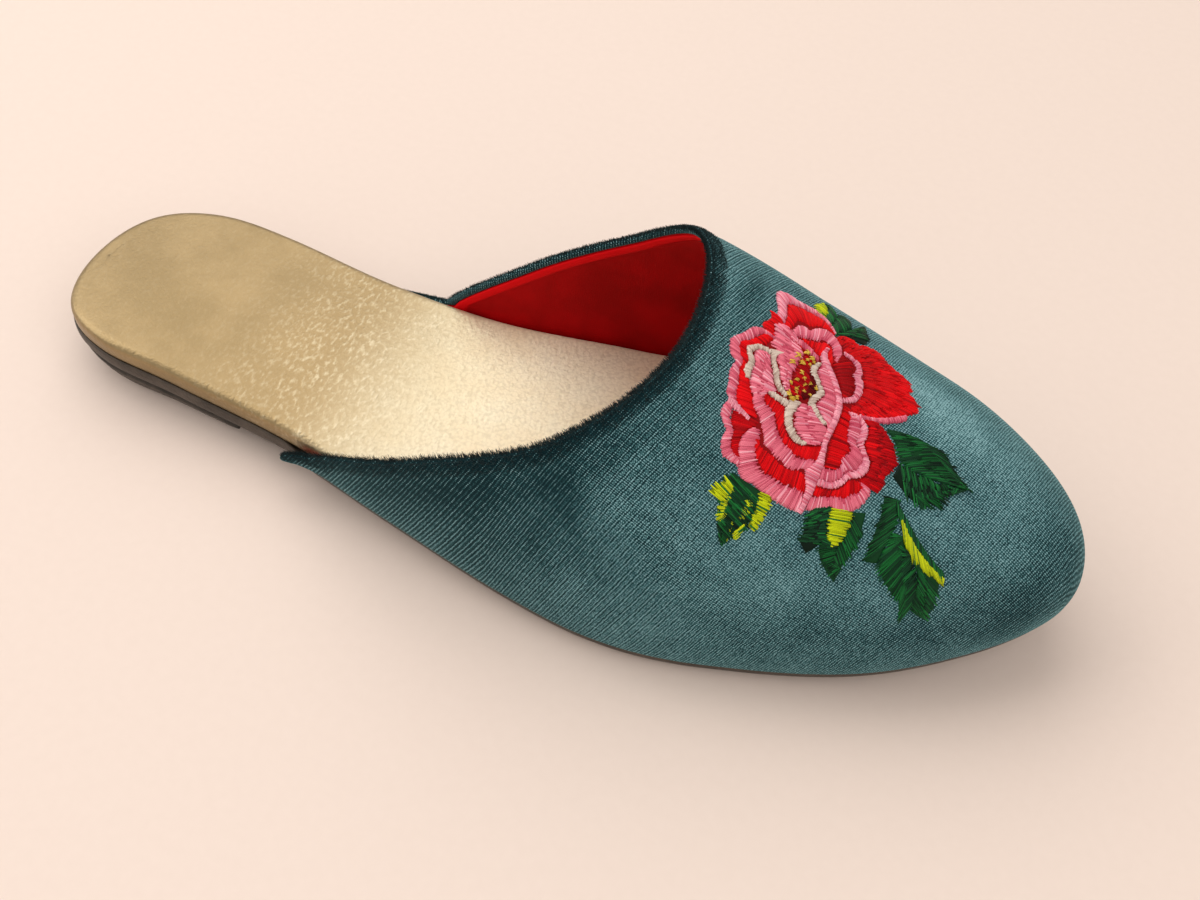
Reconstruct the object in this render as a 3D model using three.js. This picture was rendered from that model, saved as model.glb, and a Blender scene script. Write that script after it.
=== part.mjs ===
// A backless slipper for the right foot: a thin sole with a low heel, a padded footbed,
// a hollow cloth upper with a rounded edge, and an embroidered rose with leaves on the vamp.
// Lengths are in millimetres and angles in degrees. X runs from heel to toe, Y towards the inner
// side of the foot and Z up. The slipper stands on Z = 0, centred on the origin.

import * as THREE from 'three';
import { ParametricGeometry } from 'three/addons/geometries/ParametricGeometry.js';
import { mergeGeometries, mergeVertices } from 'three/addons/utils/BufferGeometryUtils.js';

// Last: the foot-shaped body that the footbed fills below and the upper is drawn over.
const LAST_LENGTH = 243;
const BALL_WIDTH = 82;
const CREST_HEIGHT = 52.4;
const CREST_SHIFT = 10.4;
const SIDE_TUCK = 0.5;
const TOE_CLOSURE = 36;

// Heights under the foot.
const HEEL_LIFT = 7;
const TOE_SPRING = 9.4;
const SOLE_THICKNESS = 3.9;
const BED_THICKNESS = 6;

// Walls, edges and the gap that two glued pieces leave.
const UPPER_WALL = 2;
const SOLE_INSET = 0.2;
const SOLE_DRAFT = 1.6;
const BED_EDGE_RADIUS = 2;
const BED_CROWN = 0.8;
const BED_CLEARANCE = 0.5;
const SEAM = 0.3;

// Low heel under the sole.
const HEEL_LENGTH = 50;
const HEEL_INSET = 1.2;
const HEEL_UNDERCUT = 3.4;
const BREAST_SWEEP = 7;

// Embroidery: the rose's place is where its middle lies, from the heel and round from the crest.
const ROSE_FROM_HEEL = 184;
const ROSE_FROM_CREST = -9;
const ROSE_RADIUS = 22;
const STITCH_HEIGHT = 0.8;
const STITCH_GAP = 0.5;

// Outline of the last. at: share of the length from the heel; inner, outer: shares of the
// ball width, measured from the line that joins the ends of the heel and the toe.
const OUTLINE = [
  { at: 0, inner: 0, outer: 0 },
  { at: 0.02, inner: 0.207, outer: 0.209 },
  { at: 0.08, inner: 0.311, outer: 0.308 },
  { at: 0.17, inner: 0.325, outer: 0.328 },
  { at: 0.3, inner: 0.289, outer: 0.366 },
  { at: 0.42, inner: 0.297, outer: 0.443 },
  { at: 0.55, inner: 0.382, outer: 0.517 },
  { at: 0.66, inner: 0.462, outer: 0.536 },
  { at: 0.76, inner: 0.461, outer: 0.476 },
  { at: 0.86, inner: 0.397, outer: 0.377 },
  { at: 0.94, inner: 0.273, outer: 0.232 },
  { at: 0.985, inner: 0.145, outer: 0.105 },
  { at: 1, inner: 0, outer: 0 },
];

// Underside of the sole. heel: share of the heel lift; toe: share of the toe spring.
// Both are nothing at the ball, which lies flat on the floor.
const UNDERSIDE = [
  { at: 0, heel: 1, toe: 0 },
  { at: 0.1, heel: 1, toe: 0 },
  { at: 0.2, heel: 0.77, toe: 0 },
  { at: 0.36, heel: 0.57, toe: 0 },
  { at: 0.5, heel: 0.31, toe: 0 },
  { at: 0.62, heel: 0, toe: 0 },
  { at: 0.72, heel: 0, toe: 0 },
  { at: 0.86, heel: 0, toe: 0.3 },
  { at: 1, heel: 0, toe: 1 },
];

// Crest of the last over its girth line, as shares of the crest height at the throat.
const THROAT_AT = 0.63;
const CREST = [
  { at: 0.25, height: 1.32 },
  { at: 0.53, height: 1.15 },
  { at: 0.63, height: 1 },
  { at: 0.74, height: 0.805 },
  { at: 0.845, height: 0.625 },
  { at: 1, height: 0.4 },
];

// Topline: how far from the heel the upper begins, as a share of the length. at: place round
// the girth, from the outer feather edge (-1) over the crest (0) to the inner feather edge (1).
const TOPLINE = [
  { at: -1, start: 0.302 },
  { at: -0.925, start: 0.311 },
  { at: -0.85, start: 0.336 },
  { at: -0.7, start: 0.447 },
  { at: -0.5, start: 0.571 },
  { at: -0.2, start: 0.642 },
  { at: 0.2, start: 0.61 },
  { at: 0.5, start: 0.545 },
  { at: 0.7, start: 0.442 },
  { at: 0.85, start: 0.349 },
  { at: 0.925, start: 0.297 },
  { at: 1, start: 0.243 },
];

// Roundness of a section over the girth line: exponents of the cosine across and of the sine
// upward, on each side at the throat and at the toe.
const OUTER_ROUND = { across: 1.17, up: 1.01 };
const INNER_ROUND = { across: 0.85, up: 0.87 };
const TOE_ROUND = { across: 0.94, up: 0.94 };
const CLOSURE_ROUND = 2.14;

// Share of the girth, from the crest, that lies over the girth line, and the length that one
// unit of the girth stands for on the vamp.
const GIRTH_SHARE = 0.85;
const VAMP_GIRTH = 73;

// Half of the step over which a surface's slope is measured.
const STEP = 0.002;

// Scalloped edge of the rose. at: angle from the toe direction towards the inner side;
// reach: share of the rose's radius.
const ROSE_EDGE = [
  { at: 0, reach: 0.75 },
  { at: 15, reach: 0.83 },
  { at: 30, reach: 1 },
  { at: 60, reach: 1.04 },
  { at: 72, reach: 1 },
  { at: 92, reach: 0.72 },
  { at: 105, reach: 0.96 },
  { at: 120, reach: 1.05 },
  { at: 133, reach: 1.02 },
  { at: 150, reach: 0.78 },
  { at: 180, reach: 0.86 },
  { at: 198, reach: 0.81 },
  { at: 225, reach: 0.89 },
  { at: 250, reach: 0.92 },
  { at: 278, reach: 0.93 },
  { at: 297, reach: 0.9 },
  { at: 318, reach: 0.97 },
  { at: 343, reach: 0.9 },
  { at: 360, reach: 0.75 },
];

// Leaves round the rose. from, to: angles on the rose's edge that the leaf grows from;
// toward, reach: angle and distance of its tip in shares of the rose's radius; swell: how much
// wider than its root the leaf grows, in the same shares.
const LEAVES = [
  { name: 'leaf_top', from: 80, to: 104, toward: 88, reach: 1.36, swell: 0.3 },
  { name: 'leaf_right', from: -12, to: 6, toward: -4, reach: 1.52, swell: 0.42 },
  { name: 'leaf_long', from: -36, to: -29, toward: -51, reach: 2.24, swell: 0.5 },
  { name: 'leaf_middle', from: -74, to: -56, toward: -64, reach: 1.56, swell: 0.12 },
  { name: 'leaf_small', from: -126, to: -98, toward: -104, reach: 1.38, swell: 0.1 },
];

const { clamp, degToRad, lerp } = THREE.MathUtils;
const turnOf = (share) => Math.acos(1 - 2 * share);
const stationAt = (turn) => LAST_LENGTH * (1 - Math.cos(turn)) / 2;

/** A smooth curve through one column of a table, whose rows are placed by their `at`. */
function curveThrough(rows, column) {
  const end = rows.length - 1;
  const secant = (from, to) => (rows[to][column] - rows[from][column]) / (rows[to].at - rows[from].at);
  const slopes = rows.map((row, i) => secant(Math.max(i - 1, 0), Math.min(i + 1, end)));
  slopes[0] = 1.5 * slopes[0] - 0.5 * slopes[1];
  slopes[end] = 1.5 * slopes[end] - 0.5 * slopes[end - 1];
  return (at) => {
    const after = rows.findIndex((row) => row.at > at);
    const i = clamp(after < 0 ? end : after, 1, end) - 1;
    const span = rows[i + 1].at - rows[i].at;
    const t = (at - rows[i].at) / span;
    const rise = t * t * (3 - 2 * t);
    return rows[i][column] * (1 - rise) + rows[i + 1][column] * rise
      + span * t * (1 - t) * (slopes[i] * (1 - t) - slopes[i + 1] * t);
  };
}

const outlineByTurn = OUTLINE.map((row) => ({ ...row, at: turnOf(row.at) }));
const innerOutline = curveThrough(outlineByTurn, 'inner');
const outerOutline = curveThrough(outlineByTurn, 'outer');
const heelShare = curveThrough(UNDERSIDE, 'heel');
const toeShare = curveThrough(UNDERSIDE, 'toe');
const crestShare = curveThrough(CREST, 'height');
const toplineShare = curveThrough(TOPLINE, 'start');
const roseReach = curveThrough(ROSE_EDGE, 'reach');

// Height of the widest line of the last over the sole's underside.
const BED_TOP = SOLE_THICKNESS + SEAM + BED_THICKNESS;
const GIRTH_LINE = BED_TOP - BED_EDGE_RADIUS * 0.8;

/** Half width of the last on one side: +1 is the inner side, -1 the outer. */
const halfWidth = (turn, side) => BALL_WIDTH * (side > 0 ? innerOutline(turn) : outerOutline(turn));

/** Height of the sole's underside at a distance from the heel. */
function underside(x) {
  const at = clamp(x / LAST_LENGTH, 0, 1);
  return Math.max(0, HEEL_LIFT * heelShare(at)) + Math.max(0, TOE_SPRING * toeShare(at));
}

/** Height of the crest over the girth line, closing in a round over the end of the toe. */
function crestHeight(x) {
  const closing = clamp((x - LAST_LENGTH + TOE_CLOSURE) / TOE_CLOSURE, 0, 1);
  return CREST_HEIGHT * crestShare(x / LAST_LENGTH) * (1 - closing ** CLOSURE_ROUND) ** (1 / CLOSURE_ROUND);
}

/** A point beside the last's outline, moved outward in plan. turn: 0 at the heel to PI at the toe. */
function besideLast(turn, side, outward, height) {
  const point = new THREE.Vector3(stationAt(turn), side * halfWidth(turn, side), height);
  if (turn < STEP || turn > Math.PI - STEP) {
    return point.setX(point.x + (turn < STEP ? -outward : outward));
  }
  const ahead = stationAt(turn + STEP) - stationAt(turn - STEP);
  const widening = halfWidth(turn + STEP, side) - halfWidth(turn - STEP, side);
  return point.addScaledVector(new THREE.Vector3(-widening, side * ahead, 0).normalize(), outward);
}

/** A point of the last over its girth line. girth: negative on the outer side, 0 at the crest. */
function lastPoint(turn, girth) {
  const side = girth < 0 ? -1 : 1;
  const x = stationAt(turn);
  const toe = clamp((x / LAST_LENGTH - THROAT_AT) / (1 - THROAT_AT), 0, 1);
  const round = side > 0 ? INNER_ROUND : OUTER_ROUND;
  const shift = side * CREST_SHIFT * (1 - toe);
  const angle = (1 - Math.min(Math.abs(girth) / GIRTH_SHARE, 1)) * Math.PI / 2;
  const across = Math.cos(angle) ** lerp(round.across, TOE_ROUND.across, toe);
  const up = Math.sin(angle) ** lerp(round.up, TOE_ROUND.up, toe);
  const y = side * (shift + (halfWidth(turn, side) - shift) * across);
  return new THREE.Vector3(x, y, underside(x) + GIRTH_LINE + crestHeight(x) * up);
}

/** A point at a height over the last, square to it, and level beside it below the girth line. */
function overLast(turn, girth, height) {
  if (Math.abs(girth) >= GIRTH_SHARE) {
    const drop = (Math.abs(girth) - GIRTH_SHARE) / (1 - GIRTH_SHARE);
    const level = underside(stationAt(turn)) + lerp(GIRTH_LINE, SOLE_THICKNESS + SEAM, drop);
    return besideLast(turn, Math.sign(girth), height - SIDE_TUCK * drop ** 2, level);
  }
  const point = lastPoint(turn, girth);
  if (turn > Math.PI - STEP) {
    return point.setX(point.x + height);
  }
  const along = lastPoint(turn + STEP, girth).sub(lastPoint(turn - STEP, girth));
  const round = lastPoint(turn, girth + STEP).sub(lastPoint(turn, girth - STEP));
  return point.addScaledVector(along.cross(round).normalize(), height);
}

/** A surface over the unit square, its front where the first parameter crosses the second. */
function surface(place, across, along) {
  return new ParametricGeometry((u, v, target) => target.copy(place(u, v)), across, along);
}

/** The same surface with its front on the other side. */
const reversed = (place, across, along) => surface((u, v) => place(1 - u, v), across, along);

/** One closed body from surfaces that share their edges. */
function closedBody(surfaces) {
  const joined = mergeGeometries(surfaces);
  joined.deleteAttribute('normal');
  joined.deleteAttribute('uv');
  const body = mergeVertices(joined, 1e-3);
  const corners = body.getIndex().array;
  const kept = [];
  for (let i = 0; i < corners.length; i += 3) {
    const [a, b, c] = corners.slice(i, i + 3);
    if (a !== b && b !== c && c !== a) {
      kept.push(a, b, c);
    }
  }
  body.setIndex(kept);
  body.computeVertexNormals();
  return body;
}

/** A slab with a shaped edge. edge(turn, side, t) runs up the side from t = 0 to 1. */
function slab(edge, toTurn, { stations = 52, rises = 1, columns = 2, crown = 0 }) {
  const cap = (t, u, v) => {
    const point = edge(toTurn(t) * v, -1, t).lerp(edge(toTurn(t) * v, 1, t), u);
    return point.setZ(point.z + crown * t * (1 - (2 * u - 1) ** 2) * Math.sin(Math.PI * v) ** 0.5);
  };
  return [
    reversed((u, v) => edge(toTurn(u) * v, -1, u), rises, stations),
    surface((u, v) => edge(toTurn(u) * v, 1, u), rises, stations),
    reversed((u, v) => cap(1, u, v), columns, stations),
    surface((u, v) => cap(0, u, v), columns, stations),
  ];
}

/** A point of a sole's edge: set in from the last's outline, at a height over the underside. */
function soleEdge(turn, side, inset, height) {
  const point = besideLast(turn, side, -inset, 0);
  return point.setZ(underside(point.x) + height);
}

const wholeTurn = () => Math.PI;

function outsoleGeometry() {
  const edge = (turn, side, t) => (
    soleEdge(turn, side, SOLE_INSET + SOLE_DRAFT * (1 - t) ** 2, SOLE_THICKNESS * t)
  );
  return closedBody(slab(edge, wholeTurn, { rises: 3 }));
}

function heelLiftGeometry() {
  const toTurn = (t) => turnOf((HEEL_LENGTH + BREAST_SWEEP * t ** 2) / LAST_LENGTH);
  const edge = (turn, side, t) => {
    const point = soleEdge(turn, side, HEEL_INSET + HEEL_UNDERCUT * (1 - t) ** 1.5, -SEAM);
    return point.setZ(point.z * t);
  };
  const breast = surface((u, v) => edge(toTurn(v), -1, v).lerp(edge(toTurn(v), 1, v), u), 2, 4);
  return closedBody([...slab(edge, toTurn, { stations: 24, rises: 4 }), breast]);
}

function footbedGeometry() {
  const straight = BED_THICKNESS - BED_EDGE_RADIUS;
  const edge = (turn, side, t) => {
    const lift = SOLE_THICKNESS + SEAM;
    if (t < 0.4) {
      return soleEdge(turn, side, BED_CLEARANCE + SIDE_TUCK * (1 - t / 0.4) ** 2, lift + straight * t / 0.4);
    }
    const angle = (t - 0.4) / 0.6 * Math.PI / 2;
    const inset = BED_CLEARANCE + BED_EDGE_RADIUS * (1 - Math.cos(angle));
    return soleEdge(turn, side, inset, lift + straight + BED_EDGE_RADIUS * Math.sin(angle));
  };
  return closedBody(slab(edge, wholeTurn, { rises: 5, columns: 6, crown: BED_CROWN }));
}

/** A point in the upper's wall. through: 0 inside to 1 outside; along: 0 topline to 1 toe. */
function wallPoint(through, along, girth) {
  const topline = turnOf(toplineShare(girth));
  const bulge = UPPER_WALL * Math.sin(Math.PI * through) / (LAST_LENGTH * Math.sin(topline));
  const height = UPPER_WALL * (1 - Math.cos(Math.PI * through)) / 2;
  return overLast(lerp(topline - bulge, Math.PI, along), girth, height);
}

function upperGeometry() {
  const rounds = 44;
  const stations = 32;
  const girthAt = (share) => 2 * share - 1;
  return closedBody([
    reversed((u, v) => wallPoint(1, v, girthAt(u)), rounds, stations),
    surface((u, v) => wallPoint(0, v, girthAt(u)), rounds, stations),
    reversed((u, v) => wallPoint(v, 0, girthAt(u)), rounds, 4),
    reversed((u, v) => wallPoint(u, v, -1), 4, stations),
    surface((u, v) => wallPoint(u, v, 1), 4, stations),
  ]);
}

/** A point over the vamp. ahead: from the heel; round: from the crest, negative to the outside. */
function overVamp(ahead, round, height) {
  return overLast(turnOf(ahead / LAST_LENGTH), round / VAMP_GIRTH, UPPER_WALL + SEAM + height);
}

/** A point of the vamp by angle and distance from the middle of the rose. */
function roundRose(angle, distance, height) {
  const turn = degToRad(angle);
  const ahead = ROSE_FROM_HEEL + distance * Math.cos(turn);
  return overVamp(ahead, ROSE_FROM_CREST + distance * Math.sin(turn), height);
}

/** A patch of stitches that follows the vamp, over the unit square, with a wall all round. */
function stitchedPatch(place, across, along) {
  const at = (u, v, t) => place(u, v, STITCH_HEIGHT * t);
  return closedBody([
    reversed((u, v) => at(u, v, 1), across, along),
    surface((u, v) => at(u, v, 0), across, along),
    reversed((u, v) => at(u, 0, v), across, 1),
    reversed((u, v) => at(0, v, u), 1, along),
    surface((u, v) => at(1, v, u), 1, along),
  ]);
}

const roseEdge = (angle) => ROSE_RADIUS * roseReach(THREE.MathUtils.euclideanModulo(angle, 360));

function roseGeometry() {
  const place = (u, v, height) => roundRose(360 * v, roseEdge(360 * v) * u, height);
  return closedBody([
    surface((u, v) => place(u, v, STITCH_HEIGHT), 4, 60),
    reversed((u, v) => place(u, v, 0), 4, 60),
    surface((u, v) => place(1, v, STITCH_HEIGHT * (1 - u)), 1, 60),
  ]);
}

/** A leaf from its root along the rose's edge to its tip, swelling between them. */
function leafGeometry(leaf) {
  const tip = new THREE.Vector2(leaf.reach * ROSE_RADIUS, 0).rotateAround(new THREE.Vector2(), degToRad(leaf.toward));
  const place = (u, v, height) => {
    const angle = degToRad(lerp(leaf.from, leaf.to, u));
    const root = new THREE.Vector2(roseEdge(lerp(leaf.from, leaf.to, u)) + STITCH_GAP, 0);
    const point = root.rotateAround(new THREE.Vector2(), angle).lerp(tip, v);
    const across = new THREE.Vector2(-tip.y, tip.x).normalize();
    point.addScaledVector(across, leaf.swell * ROSE_RADIUS * (2 * u - 1) * 2 * v * (1 - v));
    return overVamp(ROSE_FROM_HEEL + point.x, ROSE_FROM_CREST + point.y, height);
  };
  return stitchedPatch(place, 6, 6);
}

function piece(name, geometry, color, roughness, metalness = 0) {
  const mesh = new THREE.Mesh(geometry, new THREE.MeshStandardMaterial({ color, roughness, metalness }));
  mesh.name = name;
  return mesh;
}

const slipper = new THREE.Group();
slipper.add(
  piece('outsole', outsoleGeometry(), 0x463c34, 0.55),
  piece('heel_lift', heelLiftGeometry(), 0x40362f, 0.55),
  piece('footbed', footbedGeometry(), 0xc8aa73, 0.35, 0.8),
  piece('upper', upperGeometry(), 0x3f6a70, 0.9),
  piece('rose', roseGeometry(), 0xb8102c, 0.5),
  ...LEAVES.map((leaf) => piece(leaf.name, leafGeometry(leaf), 0x1d4a2c, 0.5)),
);

// The middle of the slipper's length and width stands over the origin.
const middle = new THREE.Box3().setFromObject(slipper).getCenter(new THREE.Vector3());
slipper.position.set(-middle.x, -middle.y, 0);
slipper.updateMatrixWorld(true);

export default slipper;
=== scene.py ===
"""A right-foot babouche slipper: ribbed velvet upper with an embroidered rose, a red lining,
a pale gold padded footbed and a thin dark sole with a low heel.

Lengths are in metres unless a name or comment says millimetres. X runs from the heel to the
toe, Y to the inner side of the foot and Z up. The vamp is charted by two lengths: ahead, from
the heel, and round, from the crest, negative towards the outer side.
"""

import logging
from dataclasses import dataclass, field
from enum import Enum
from typing import Any, Sequence

import bmesh
import bpy
import numpy as np
from mathutils import Matrix, Vector


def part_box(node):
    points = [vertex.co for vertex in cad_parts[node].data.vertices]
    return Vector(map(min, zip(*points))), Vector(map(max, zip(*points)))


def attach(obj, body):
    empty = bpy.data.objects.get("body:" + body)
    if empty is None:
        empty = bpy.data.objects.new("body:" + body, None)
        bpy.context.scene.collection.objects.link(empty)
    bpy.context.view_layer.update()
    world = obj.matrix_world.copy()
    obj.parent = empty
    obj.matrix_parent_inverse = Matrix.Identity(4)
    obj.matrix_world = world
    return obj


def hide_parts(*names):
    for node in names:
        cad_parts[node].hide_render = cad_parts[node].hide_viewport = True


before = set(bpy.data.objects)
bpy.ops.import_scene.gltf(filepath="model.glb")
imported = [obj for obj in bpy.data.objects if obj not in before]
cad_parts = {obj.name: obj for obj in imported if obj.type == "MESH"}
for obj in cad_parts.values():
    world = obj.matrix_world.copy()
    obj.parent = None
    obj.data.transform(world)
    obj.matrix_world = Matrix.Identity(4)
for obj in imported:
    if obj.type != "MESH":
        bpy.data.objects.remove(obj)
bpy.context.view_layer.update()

MM = 0.001
SEED = 38
Colour = tuple[float, float, float]
log = logging.getLogger("slipper")


# --------------------------------------------------------------------------------------
# Curves and the last
# --------------------------------------------------------------------------------------


@dataclass(frozen=True)
class Curve:
    """A smooth curve through a table: a cubic between rows.

    At each row it is as steep as the line between the rows beside it.

    Attributes:
        at: Places of the rows, rising.
        value: Value at each place.
    """

    at: Sequence[float]
    value: Sequence[float]

    def __call__(self, where: np.ndarray) -> np.ndarray:
        """Values of the curve.

        Args:
            where: Places to read.

        Returns:
            One value for each place.
        """
        at, value = np.asarray(self.at, float), np.asarray(self.value, float)
        rows = np.arange(len(at))
        below, above = np.maximum(rows - 1, 0), np.minimum(rows + 1, len(at) - 1)
        slope = (value[above] - value[below]) / (at[above] - at[below])
        slope[0] = 1.5 * slope[0] - 0.5 * slope[1]
        slope[-1] = 1.5 * slope[-1] - 0.5 * slope[-2]
        row = np.clip(np.searchsorted(at, where, side="right") - 1, 0, len(at) - 2)
        span = at[row + 1] - at[row]
        t = (where - at[row]) / span
        rise = t * t * (3 - 2 * t)
        bend = slope[row] * (1 - t) - slope[row + 1] * t
        return value[row] * (1 - rise) + value[row + 1] * rise + span * t * (1 - t) * bend


def turn_of(share: np.ndarray) -> np.ndarray:
    """Turn, from 0 at the heel to pi at the toe, that stands for a share of the length."""
    return np.arccos(np.clip(1 - 2 * np.asarray(share, float), -1, 1))


def unit(vectors: np.ndarray) -> np.ndarray:
    """The same directions with a length of one."""
    return vectors / np.maximum(np.linalg.norm(vectors, axis=-1, keepdims=True), 1e-12)


def blend(a: Any, b: Any, t: Any) -> Any:
    """Straight mix of two values: a at t = 0 and b at t = 1."""
    return a + (b - a) * t


OUTLINE_AT = (0, 0.02, 0.08, 0.17, 0.3, 0.42, 0.55, 0.66, 0.76, 0.86, 0.94, 0.985, 1)
UNDERSIDE_AT = (0, 0.1, 0.2, 0.36, 0.5, 0.62, 0.72, 0.86, 1)


@dataclass(frozen=True)
class Last:
    """The foot-shaped body that the slipper is built round.

    Attributes:
        heel: X of its heel end.
        middle: Y of the line through the ends of the heel and the toe.
    """

    heel: float = 0.0
    middle: float = 0.0
    length: float = 0.243
    ball_width: float = 0.082
    crest_height: float = 0.0524
    crest_shift: float = 0.0104
    side_tuck: float = 0.0005
    toe_closure: float = 0.036
    closure_round: float = 2.14
    heel_lift: float = 0.007
    toe_spring: float = 0.0094
    sole_thickness: float = 0.0039
    seam: float = 0.0003
    bed_thickness: float = 0.006
    girth_line_drop: float = 0.0016
    girth_share: float = 0.85
    vamp_girth: float = 0.073
    throat_at: float = 0.63
    inner_round: tuple[float, float] = (0.85, 0.87)
    outer_round: tuple[float, float] = (1.17, 1.01)
    toe_round: tuple[float, float] = (0.94, 0.94)
    step: float = 0.002
    inner: Curve = Curve(
        turn_of(OUTLINE_AT),
        (0, 0.207, 0.311, 0.325, 0.289, 0.297, 0.382, 0.462, 0.461, 0.397, 0.273, 0.145, 0),
    )
    outer: Curve = Curve(
        turn_of(OUTLINE_AT),
        (0, 0.209, 0.308, 0.328, 0.366, 0.443, 0.517, 0.536, 0.476, 0.377, 0.232, 0.105, 0),
    )
    heel_share: Curve = Curve(UNDERSIDE_AT, (1, 1, 0.77, 0.57, 0.31, 0, 0, 0, 0))
    toe_share: Curve = Curve(UNDERSIDE_AT, (0, 0, 0, 0, 0, 0, 0, 0.3, 1))
    crest_share: Curve = Curve((0.25, 0.53, 0.63, 0.74, 0.845, 1), (1.32, 1.15, 1, 0.805, 0.625, 0.4))
    topline: Curve = Curve(
        (-1, -0.925, -0.85, -0.7, -0.5, -0.2, 0.2, 0.5, 0.7, 0.85, 0.925, 1),
        (0.304, 0.314, 0.34, 0.451, 0.576, 0.6475, 0.616, 0.5515, 0.449, 0.355, 0.302, 0.247),
    )

    @classmethod
    def of_footbed(cls, node: str, clearance: float) -> "Last":
        """The last whose outline a footbed node fills.

        Args:
            node: Name of the footbed's node.
            clearance: Gap between the footbed and the last's outline.

        Returns:
            The last, in its place in the frame.
        """
        low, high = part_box(node)
        plain = cls()
        widest = plain.half_width(np.linspace(0, np.pi, 2000), 1).max()
        return cls(heel=low.x - clearance, middle=high.y + clearance - widest)

    def station(self, turn: np.ndarray) -> np.ndarray:
        """Distance from the heel at a turn."""
        return self.length * (1 - np.cos(turn)) / 2

    def half_width(self, turn: np.ndarray, side: Any) -> np.ndarray:
        """Half width of the outline on one side: +1 is the inner side, -1 the outer."""
        return self.ball_width * np.where(np.asarray(side) > 0, self.inner(turn), self.outer(turn))

    def underside(self, ahead: np.ndarray) -> np.ndarray:
        """Height of the sole's underside at a distance from the heel."""
        share = np.clip(ahead / self.length, 0, 1)
        lift = np.maximum(0, self.heel_lift * self.heel_share(share))
        return lift + np.maximum(0, self.toe_spring * self.toe_share(share))

    def crest(self, ahead: np.ndarray) -> np.ndarray:
        """Height of the crest over the girth line, closing in a round over the end of the toe."""
        closing = np.clip((ahead - self.length + self.toe_closure) / self.toe_closure, 0, 1)
        round_over = (1 - closing**self.closure_round) ** (1 / self.closure_round)
        return self.crest_height * self.crest_share(ahead / self.length) * round_over

    @property
    def bed_foot(self) -> float:
        """Height of the footbed's lower face over the underside."""
        return self.sole_thickness + self.seam

    @property
    def girth_line(self) -> float:
        """Height of the widest line over the underside."""
        return self.bed_foot + self.bed_thickness - self.girth_line_drop

    def beside(self, turn: np.ndarray, side: Any, outward: Any, level: Any) -> np.ndarray:
        """Points beside the outline: its edge moved outward in plan, square to it.

        Args:
            turn: Places along the outline.
            side: +1 for the inner side, -1 for the outer.
            outward: Distance out from the outline.
            level: Height over the floor.

        Returns:
            Points, with one more axis than the places.
        """
        turn, side, outward, level = np.broadcast_arrays(turn, side, outward, level)
        ahead = self.station(turn + self.step) - self.station(turn - self.step)
        widening = self.half_width(turn + self.step, side) - self.half_width(turn - self.step, side)
        normal = unit(np.stack([-widening, side * ahead], -1))
        normal = np.where((turn < self.step)[..., None], (-1.0, 0.0), normal)
        normal = np.where((turn > np.pi - self.step)[..., None], (1.0, 0.0), normal)
        x = self.heel + self.station(turn) + normal[..., 0] * outward
        y = self.middle + side * self.half_width(turn, side) + normal[..., 1] * outward
        return np.stack([x, y, level], -1)

    def point(self, turn: np.ndarray, girth: np.ndarray) -> np.ndarray:
        """Points of the last above its girth line.

        The section is a rounded arch: its half width goes with a power of the cosine, and its
        height with a power of the sine, of an angle that falls evenly with the girth.

        Args:
            turn: Places along the length.
            girth: Places round the section, negative on the outer side and 0 at the crest.

        Returns:
            Points, with one more axis than the places.
        """
        side = np.where(girth < 0, -1.0, 1.0)
        ahead = self.station(turn)
        toe = np.clip((ahead / self.length - self.throat_at) / (1 - self.throat_at), 0, 1)
        across = blend(np.where(side > 0, self.inner_round[0], self.outer_round[0]), self.toe_round[0], toe)
        up = blend(np.where(side > 0, self.inner_round[1], self.outer_round[1]), self.toe_round[1], toe)
        angle = (1 - np.minimum(np.abs(girth) / self.girth_share, 1)) * np.pi / 2
        shift = side * self.crest_shift * (1 - toe)
        half = self.half_width(turn, side)
        y = side * (shift + (half - shift) * np.maximum(np.cos(angle), 0) ** across)
        z = self.underside(ahead) + self.girth_line + self.crest(ahead) * np.sin(angle) ** up
        return np.stack([self.heel + ahead, self.middle + y, z], -1)

    def over(self, turn: Any, girth: Any, height: Any) -> np.ndarray:
        """Points at a height over the last, square to it, and level beside it below the girth line.

        Args:
            turn: Places along the length.
            girth: Places round the section.
            height: Height over the last.

        Returns:
            Points, with one more axis than the places.
        """
        turn, girth, height = np.broadcast_arrays(turn, girth, height)
        drop = np.clip((np.abs(girth) - self.girth_share) / (1 - self.girth_share), 0, 1)
        level = self.underside(self.station(turn)) + blend(self.girth_line, self.bed_foot, drop)
        side = np.where(girth < 0, -1.0, 1.0)
        low = self.beside(turn, side, height - self.side_tuck * drop**2, level)
        along = self.point(turn + self.step, girth) - self.point(turn - self.step, girth)
        turned = self.point(turn, girth + self.step) - self.point(turn, girth - self.step)
        normal = unit(np.cross(along, turned))
        normal = np.where((turn > np.pi - self.step)[..., None], (1.0, 0.0, 0.0), normal)
        high = self.point(turn, girth) + normal * height[..., None]
        return np.where((np.abs(girth) >= self.girth_share)[..., None], low, high)

    def chart(self, ahead: np.ndarray, round_: np.ndarray, height: Any) -> np.ndarray:
        """Points over the vamp from its chart, in metres from the heel and round from the crest."""
        turn = turn_of(np.asarray(ahead) / self.length)
        return self.over(turn, np.asarray(round_) / self.vamp_girth, height)

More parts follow.
